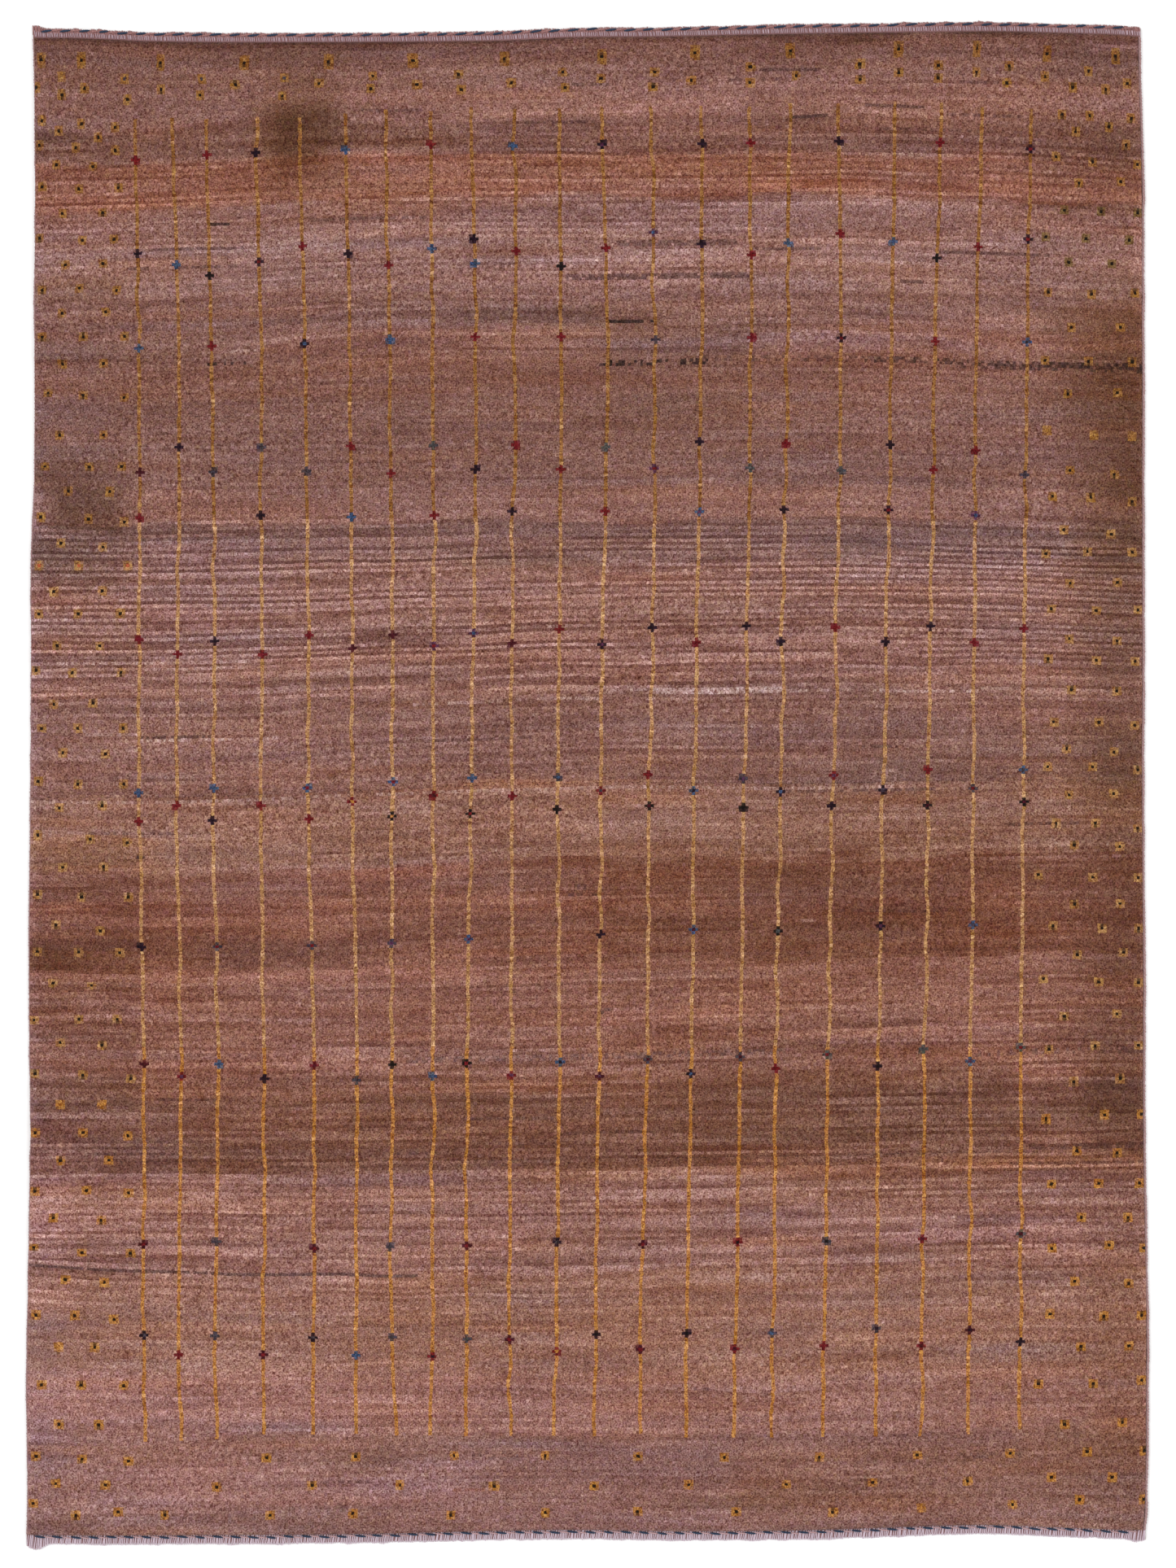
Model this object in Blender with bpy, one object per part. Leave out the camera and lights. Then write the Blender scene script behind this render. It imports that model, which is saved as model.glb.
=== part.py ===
"""A hand-knotted gabbeh rug lying flat.

The rug is one cloth: a knotted body with its pile, and a flat-woven hem at each end. A wool
binding wraps each hem, a two-colour twined cord is sewn along each binding, and an overcast cord
runs up each side between the bindings.
Metres, +Z up. The origin is the centre of the underside, +Y runs up the length of the rug.
"""

import math

import bmesh
import bpy
from mathutils import Vector, noise

# Driving sizes
GAP = 0.0003
PILE_TOP = 0.0120
PILE_WAVE = 0.0006
WAVE_LENGTH = 0.16
SIDE_CORD_RADIUS = 0.0026
SIDE_CORD_LUMP = 0.05
BINDING_WIDTH = 0.0135
BINDING_HEIGHT = 0.0044
BINDING_THICKNESS = 0.0010
HEM_TOP = BINDING_HEIGHT - BINDING_THICKNESS - GAP
HEM_UNDERSIDE = BINDING_THICKNESS + GAP
HEM_CLEARANCE = 0.0016
TWINE_RADIUS = 0.0013
TWINE_PITCH = 0.022
PITCH_ACROSS = 0.033
PITCH_ALONG = 0.044

# Outer edges of the side cords: place along the rug, left edge, right edge
SIDE_EDGES = (
    (-1.030, -0.752, 0.744),
    (-0.965, -0.750, 0.750),
    (-0.693, -0.750, 0.750),
    (-0.475, -0.747, 0.747),
    (-0.257, -0.748, 0.748),
    (-0.039, -0.748, 0.746),
    (0.179, -0.746, 0.746),
    (0.397, -0.742, 0.746),
    (0.615, -0.742, 0.745),
    (0.833, -0.740, 0.745),
    (0.942, -0.741, 0.741),
    (1.030, -0.743, 0.739),
)
LEFT, RIGHT = 1, 2

# Outer edges of the end bindings: place across the rug, bottom edge, top edge
END_EDGES = (
    (-0.760, -1.014, 1.013),
    (-0.677, -1.017, 1.013),
    (-0.568, -1.016, 1.009),
    (-0.350, -1.015, 1.008),
    (-0.132, -1.011, 1.010),
    (-0.023, -1.007, 1.015),
    (0.086, -1.010, 1.013),
    (0.304, -1.008, 1.019),
    (0.522, -1.003, 1.023),
    (0.631, -1.007, 1.019),
    (0.718, -1.010, 1.017),
    (0.760, -1.012, 1.013),
)
BOTTOM, TOP = 1, 2

# Corner ears, where a binding's end hangs out: end, place across, reach outwards, half width
EARS = (
    (BOTTOM, -0.739, 0.0085, 0.022),
    (BOTTOM, 0.736, 0.0030, 0.020),
    (TOP, -0.741, 0.0050, 0.018),
)

# The pile rolls off at its rim: distance in from the rim, height
PILE_RIM = ((0.0, 0.0066), (0.003, 0.0098), (0.008, 0.0114), (0.017, PILE_TOP))

# A binding's outer surface, from its inner edge on top, round the hem, to the one underneath:
# distance in from the rug's end, height
BINDING_SECTION = (
    (BINDING_WIDTH, BINDING_HEIGHT),
    (0.0080, BINDING_HEIGHT),
    (0.0022, BINDING_HEIGHT),
    (0.0006, 0.0034),
    (0.0, 0.0022),
    (0.0006, 0.0010),
    (0.0022, 0.0),
    (0.0080, 0.0),
    (BINDING_WIDTH, 0.0),
)
CORNER_STEP = 0.011

# How far a twined cord lies in from the outer edge of its binding
TWINE_INSET = {BOTTOM: 0.0106, TOP: 0.0032}
TWINE_END_INSET = 0.012
# A twined cord's lumps: share of the pitch, share of the full radius
TWINE_FLOATS = ((0.0, 0.72), (0.35, 1.0))

# Colours: red, green, blue in linear light, and roughness
WOOLS = {
    "pile_wool": ((0.300, 0.135, 0.098), 0.95),
    "side_wool": ((0.330, 0.235, 0.230), 0.9),
    "end_wool": ((0.520, 0.400, 0.400), 0.9),
    "indigo_wool": ((0.030, 0.055, 0.105), 0.9),
}


def clear_scene():
    for thing in list(bpy.data.objects):
        bpy.data.objects.remove(thing, do_unlink=True)


def wool(name):
    """A plain matt wool of the named colour."""
    colour, roughness = WOOLS[name]
    material = bpy.data.materials.get(name)
    if material is None:
        material = bpy.data.materials.new(name)
        material.use_nodes = True
        shader = material.node_tree.nodes["Principled BSDF"]
        shader.inputs["Base Color"].default_value = (*colour, 1.0)
        shader.inputs["Roughness"].default_value = roughness
        shader.inputs["Metallic"].default_value = 0.0
    return material


def slope(rows, column, index):
    """The tangent of a table's smooth curve at one of its rows."""
    before, after = max(index - 1, 0), min(index + 1, len(rows) - 1)
    rise = rows[after][column] - rows[before][column]
    return rise / (rows[after][0] - rows[before][0])


def through(rows, column, place):
    """A smooth curve through one column of a table, read at a place."""
    last = len(rows) - 2
    index = next((n for n in range(last) if place < rows[n + 1][0]), last)
    start, end = rows[index], rows[index + 1]
    span = end[0] - start[0]
    t = min(max((place - start[0]) / span, 0.0), 1.0)
    rise_from, rise_to = slope(rows, column, index) * span, slope(rows, column, index + 1) * span
    return (
        start[column] * (1 + 2 * t) * (1 - t) ** 2
        + rise_from * t * (1 - t) ** 2
        + end[column] * t * t * (3 - 2 * t)
        - rise_to * t * t * (1 - t)
    )


def along_table(rows, place):
    """Straight lines between a table's first two columns."""
    if place <= rows[0][0]:
        return rows[0][1]
    for (start, low), (end, high) in zip(rows, rows[1:], strict=False):
        if place <= end:
            return low + (high - low) * (place - start) / (end - start)
    return rows[-1][1]


def side_edge(side, y):
    return through(SIDE_EDGES, side, y)


def end_edge(end, x):
    return through(END_EDGES, end, x)


def inwards(end):
    """+1 at the bottom end and -1 at the top end: the way from a binding into the rug."""
    return 1.0 if end == BOTTOM else -1.0


def ear_reach(end, x):
    """How far an ear pushes the binding's outer edge out at x."""
    reach = 0.0
    for ear_end, centre, out, half_width in EARS:
        if ear_end == end and abs(x - centre) < half_width:
            reach += out * (0.5 + 0.5 * math.cos(math.pi * (x - centre) / half_width))
    return reach


def stations(length, insets, pitch):
    """Distances along a length: the insets from each end, and even steps near the pitch between."""
    inner = insets[-1]
    steps = max(2, round((length - 2 * inner) / pitch))
    middle = [inner + (length - 2 * inner) * n / steps for n in range(1, steps)]
    return [*insets, *middle, *(length - inset for inset in reversed(insets))]


def link(name, mesh, wool_name):
    thing = bpy.data.objects.new(name, mesh)
    bpy.context.scene.collection.objects.link(thing)
    mesh.materials.append(wool(wool_name))
    return thing


def finish(name, bm, wool_name):
    """Turn a bmesh into a smooth-shaded object of triangles, with its real corners kept sharp."""
    bmesh.ops.triangulate(bm, faces=bm.faces[:])
    bmesh.ops.recalc_face_normals(bm, faces=bm.faces[:])
    mesh = bpy.data.meshes.new(name)
    bm.to_mesh(mesh)
    bm.free()
    mesh.shade_smooth()
    mesh.set_sharp_from_angle(angle=math.radians(40))
    return link(name, mesh, wool_name)


def rug_cloth():
    """The woven ground with its clipped pile and its two hems, as one piece.

    The pile rolls off at its rim and lies a little uneven. The hems are thin, and their
    underside is lifted by the bindings' own thickness.
    """
    rim = 2 * SIDE_CORD_RADIUS * (1 + SIDE_CORD_LUMP) + GAP
    cut_back = BINDING_THICKNESS + HEM_CLEARANCE
    hem = BINDING_WIDTH + GAP - cut_back
    width = SIDE_EDGES[-1][RIGHT] - SIDE_EDGES[-1][LEFT]
    length = END_EDGES[0][TOP] - END_EDGES[0][BOTTOM]
    insets = [inset for inset, _ in PILE_RIM]
    across = stations(width, insets, PITCH_ACROSS)
    along = stations(length, [0.0, hem, *(hem + GAP + inset for inset in insets)], PITCH_ALONG)

    def place(s, t):
        x, y = s - width / 2, 0.0
        for _ in range(3):
            low, high = end_edge(BOTTOM, x) + cut_back, end_edge(TOP, x) - cut_back
            y = low + (high - low) * t / length
            left, right = side_edge(LEFT, y) + rim, side_edge(RIGHT, y) - rim
            x = left + (right - left) * s / width
        return x, y

    def pile_top(s, t, x, y):
        inset = min(s, width - s, t - hem - GAP, length - t - hem - GAP)
        share = min(inset / insets[-1], 1.0)
        wave = noise.noise(Vector((x / WAVE_LENGTH, y / WAVE_LENGTH, 0.0)))
        return along_table(PILE_RIM, inset) + share * PILE_WAVE * wave

    bm = bmesh.new()
    top = bm.verts.layers.float.new("top")
    columns, rows = len(across) - 1, len(along) - 1
    for vertex in bmesh.ops.create_grid(bm, x_segments=columns, y_segments=rows, size=1.0)["verts"]:
        s = across[round((vertex.co.x + 1) / 2 * columns)]
        t = along[round((vertex.co.y + 1) / 2 * rows)]
        in_hem = min(t, length - t) < hem + GAP / 2
        x, y = place(s, t)
        vertex.co = (x, y, HEM_UNDERSIDE if in_hem else 0.0)
        vertex[top] = HEM_TOP if in_hem else pile_top(s, t, x, y)
    raised = bmesh.ops.extrude_face_region(bm, geom=bm.faces[:], use_keep_orig=True)["geom"]
    for vertex in raised:
        if isinstance(vertex, bmesh.types.BMVert):
            vertex.co.z = vertex[top]
    bm.verts.layers.float.remove(top)
    return finish("rug_cloth", bm, "pile_wool")


def end_binding(name, end):
    """The wool binding wrapped round a hem, with the ears at its corners."""
    middle = end_edge(end, 0.0)
    left, right = side_edge(LEFT, middle), side_edge(RIGHT, middle)
    corner_steps = [CORNER_STEP * n for n in range(4)]
    across = stations(right - left, corner_steps, PITCH_ACROSS)
    bm = bmesh.new()
    columns, rows = len(across) - 1, len(BINDING_SECTION) - 1
    for vertex in bmesh.ops.create_grid(bm, x_segments=columns, y_segments=rows, size=1.0)["verts"]:
        x = left + across[round((vertex.co.x + 1) / 2 * columns)]
        inset, height = BINDING_SECTION[round((vertex.co.y + 1) / 2 * rows)]
        inner = end_edge(end, x) + inwards(end) * BINDING_WIDTH
        outer = end_edge(end, x) - inwards(end) * ear_reach(end, x)
        vertex.co = (x, outer + (inner - outer) * inset / BINDING_WIDTH, height)
    bm.normal_update()
    bmesh.ops.solidify(bm, geom=bm.faces[:], thickness=-inwards(end) * BINDING_THICKNESS)
    return finish(name, bm, "end_wool")


def yarn_line(name, wool_name, points, radii, radius, resolution):
    """A solid cord through the points, as a bevelled curve with closed ends."""
    curve = bpy.data.curves.new(name, "CURVE")
    curve.dimensions = "3D"
    curve.bevel_depth = radius
    curve.bevel_resolution = resolution
    curve.use_fill_caps = True
    spline = curve.splines.new("POLY")
    spline.points.add(len(points) - 1)
    for point, place, share in zip(spline.points, points, radii, strict=True):
        point.co = (*place, 1.0)
        point.radius = share
    thing = bpy.data.objects.new(name, curve)
    bpy.context.scene.collection.objects.link(thing)
    curve.materials.append(wool(wool_name))
    return thing


def side_cord(name, side):
    """The overcast cord up one side, from binding to binding."""
    way = 1.0 if side == LEFT else -1.0
    thick = SIDE_CORD_RADIUS * (1 + SIDE_CORD_LUMP)
    near_edge = side_edge(side, 0.0) + way * thick
    low = end_edge(BOTTOM, near_edge) + BINDING_WIDTH + GAP
    high = end_edge(TOP, near_edge) - BINDING_WIDTH - GAP
    points, radii = [], []
    for step in stations(high - low, [inset for inset, _ in PILE_RIM], PITCH_ALONG):
        y = low + step
        points.append((side_edge(side, y) + way * thick, y, thick))
        radii.append(1 + SIDE_CORD_LUMP * noise.noise(Vector((side, step / WAVE_LENGTH, 0.0))))
    return yarn_line(name, "side_wool", points, radii, SIDE_CORD_RADIUS, 2)


def twined_cord(name, end):
    """Two yarns twined round each other along a binding: the cord swells at each float."""
    left = side_edge(LEFT, end_edge(end, 0.0)) + TWINE_END_INSET
    right = side_edge(RIGHT, end_edge(end, 0.0)) - TWINE_END_INSET
    height = BINDING_HEIGHT + GAP + TWINE_RADIUS
    pitches = round((right - left) / TWINE_PITCH)
    points, radii = [], []
    for n in range(pitches):
        for share, swell in TWINE_FLOATS:
            x = left + (right - left) * (n + share) / pitches
            y = end_edge(end, x) + inwards(end) * TWINE_INSET[end]
            points.append((x, y, height))
            radii.append(swell)
    return yarn_line(name, "indigo_wool", points, radii, TWINE_RADIUS, 1)


def main():
    clear_scene()
    rug_cloth()
    side_cord("side_cord_left", LEFT)
    side_cord("side_cord_right", RIGHT)
    end_binding("end_binding_bottom", BOTTOM)
    end_binding("end_binding_top", TOP)
    twined_cord("twined_cord_bottom", BOTTOM)
    twined_cord("twined_cord_top", TOP)


main()
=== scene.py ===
"""The look of a hand-knotted gabbeh rug lying flat, pile side up.

The knot chart is laid out in a count of hundredths: the rug's own drawing, 1445 wide and 1927
high, in which a knot is 3.75 wide and high. Metres are used for everything that is modelled.
"""

import math

import bmesh
import bpy
import numpy as np
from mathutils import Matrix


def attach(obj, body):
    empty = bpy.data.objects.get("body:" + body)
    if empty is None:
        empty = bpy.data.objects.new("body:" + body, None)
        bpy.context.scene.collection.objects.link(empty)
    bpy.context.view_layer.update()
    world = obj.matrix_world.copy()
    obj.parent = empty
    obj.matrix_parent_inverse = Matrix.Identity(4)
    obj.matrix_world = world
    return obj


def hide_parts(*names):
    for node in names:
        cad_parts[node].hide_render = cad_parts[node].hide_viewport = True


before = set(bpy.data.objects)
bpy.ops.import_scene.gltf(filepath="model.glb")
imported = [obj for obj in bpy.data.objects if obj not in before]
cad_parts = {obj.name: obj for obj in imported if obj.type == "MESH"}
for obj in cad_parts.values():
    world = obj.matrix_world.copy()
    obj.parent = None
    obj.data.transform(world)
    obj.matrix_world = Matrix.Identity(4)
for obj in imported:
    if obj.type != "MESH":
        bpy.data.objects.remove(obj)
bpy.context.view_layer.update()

# ---------------------------------------------------------------- sizes
UNIT = 0.00109
MIDDLE_ACROSS, MIDDLE_UP = 722.0, 963.0
KNOT = 3.75
KNOT_ROWS, KNOT_COLUMNS = 488, 362
PILE_TOP = 0.0120
PILE_FOOT = 0.0026
KNOT_DOME = 0.0011
KNOT_UNEVEN = 0.00022
KNOT_SHIFT = 0.00042
MINGLE = 0.35
FIGURE_MINGLE = 0.10
PILE_LAY = 0.00060
BINDING_WIDTH = 0.0135
HEM_INSET = 0.0028
HEM_TOP, HEM_UNDERSIDE = 0.0030, 0.0013
GROUND_TOP = 0.0030
LEFT_RIM, RIGHT_RIM = 0.0020, 0.0042
UNDERCUT = 0.0026
STITCH_PITCH, STITCH_RADIUS, STITCH_SLANT = 0.0024, 0.00072, 0.0020
FLOAT_RISE = 0.00085
BINDING_TOP = 0.0044
WRAP_PITCH = 0.0038
CORD_RADIUS = {"left": 0.0021, "right": 0.0026}
STRIPS = 4

BOTTOM, TOP = 1, 2
LEFT, RIGHT = 1, 2

# Outer edges of the side cords, metres: place along the rug, left edge, right edge
SIDE_EDGES = (
    (-1.030, -0.7530, 0.7450),
    (-0.965, -0.7510, 0.7505),
    (-0.803, -0.7525, 0.7520),
    (-0.693, -0.7510, 0.7520),
    (-0.475, -0.7478, 0.7480),
    (-0.257, -0.7495, 0.7480),
    (-0.039, -0.7480, 0.7465),
    (0.179, -0.7465, 0.7470),
    (0.298, -0.7465, 0.7468),
    (0.397, -0.7425, 0.7468),
    (0.615, -0.7420, 0.7465),
    (0.833, -0.7413, 0.7458),
    (0.942, -0.7423, 0.7425),
    (1.030, -0.7440, 0.7405),
)

# Outer edges of the end bindings, metres: place across the rug, bottom edge, top edge
END_EDGES = (
    (-0.760, -1.0200, 1.0125),
    (-0.677, -1.0210, 1.0120),
    (-0.568, -1.0205, 1.0077),
    (-0.350, -1.0195, 1.0068),
    (-0.132, -1.0152, 1.0088),
    (-0.023, -1.0135, 1.0135),
    (0.086, -1.0148, 1.0142),
    (0.180, -1.0153, 1.0163),
    (0.304, -1.0138, 1.0187),
    (0.522, -1.0070, 1.0213),
    (0.631, -1.0100, 1.0190),
    (0.718, -1.0135, 1.0163),
    (0.760, -1.0140, 1.0125),
)

# Corner ears, where a binding's end hangs out: end, place across, reach outwards, half width
EARS = (
    (BOTTOM, -0.739, 0.0085, 0.020),
    (BOTTOM, 0.736, 0.0030, 0.020),
    (TOP, -0.741, 0.0050, 0.018),
)

# The pile rolls off at its rim: distance in from the rim, height
PILE_RIM = ((0.0, 0.0070), (0.003, 0.0098), (0.008, 0.0114), (0.017, PILE_TOP))

# ---------------------------------------------------------------- wools
# The flat-woven hem under the bindings
HEM_WOOL = (142, 105, 104)
# Share of each channel's light that the wool gives back, for the room's light
DYE_DEPTH = (0.826, 0.811, 0.826)
WOOLS = {
    "umber": (104, 66, 55),
    "brown": (130, 87, 71),
    "russet": (146, 95, 78),
    "rosewood": (146, 104, 93),
    "chestnut": (141, 96, 82),
    "ash_rose": (151, 111, 101),
    "mauve": (134, 97, 89),
    "tan": (150, 107, 91),
    "pale": (172, 131, 122),
    "white": (196, 166, 160),
    "soot": (70, 46, 44),
    "saffron_dull": (146, 99, 50),
    "saffron_pale": (176, 130, 84),
    "saffron": (178, 120, 58),
    "dot_dark": (136, 89, 38),
    "dot_dull": (148, 101, 48),
    "dot": (165, 119, 68),
    "dot_bright": (172, 115, 50),
    "red": (99, 11, 19),
    "wine": (60, 6, 20),
    "navy": (22, 4, 20),
    "blue": (50, 71, 103),
    "slate": (58, 50, 60),
    "teal": (66, 66, 66),
    "black": (10, 4, 4),
    "plum": (76, 38, 62),
    "moss": (116, 88, 50),
    "ember": (176, 84, 50),
}
LETTER_WOOLS = {
    "R": "red",
    "W": "wine",
    "N": "navy",
    "B": "blue",
    "S": "slate",
    "T": "teal",
    "K": "black",
    "P": "plum",
    "Y": "saffron",
}

# Bands of the ground from the top down: first place, wool, tone, how soft its upper edge is
BANDS = (
    # The first band darkens the pile's first rows along its top edge, under the top binding.
    (40, "umber", 0.94, 1),
    (56, "chestnut", 0.90, 4),
    (80, "rosewood", 0.93, 14),
    (104, "rosewood", 1.01, 12),
    (148, "chestnut", 0.93, 6),
    (190, "russet", 0.96, 6),
    (220, "russet", 1.01, 12),
    (245, "rosewood", 1.00, 6),
    (282, "ash_rose", 1.00, 12),
    (326, "ash_rose", 0.99, 8),
    (358, "rosewood", 0.93, 10),
    (398, "rosewood", 0.97, 10),
    (428, "chestnut", 0.93, 8),
    (486, "rosewood", 0.90, 12),
    (560, "rosewood", 0.91, 12),
    (600, "rosewood", 0.99, 10),
    (640, "mauve", 0.95, 3),
    (660, "mauve", 1.01, 6),
    (690, "rosewood", 1.01, 3),
    (744, "rosewood", 0.98, 6),
    (786, "rosewood", 1.02, 8),
    (846, "rosewood", 0.93, 4),
    (900, "rosewood", 0.95, 10),
    (942, "rosewood", 0.92, 6),
    (964, "tan", 0.98, 3),
    (1030, "tan", 0.94, 8),
    (1058, "russet", 0.87, 4),
    (1132, "russet", 0.87, 8),
    (1182, "chestnut", 1.01, 2),
    (1236, "chestnut", 1.01, 10),
    (1288, "chestnut", 0.98, 8),
    (1322, "brown", 1.02, 8),
    (1342, "brown", 0.94, 8),
    (1408, "brown", 0.96, 4),
    (1437, "rosewood", 1.01, 3),
    (1562, "tan", 1.00, 6),
    (1690, "rosewood", 1.05, 20),
    (1764, "rosewood", 0.97, 4),
    (1842, "rosewood", 0.96, 6),
    (1868, "mauve", 1.03, 6),
)
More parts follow.
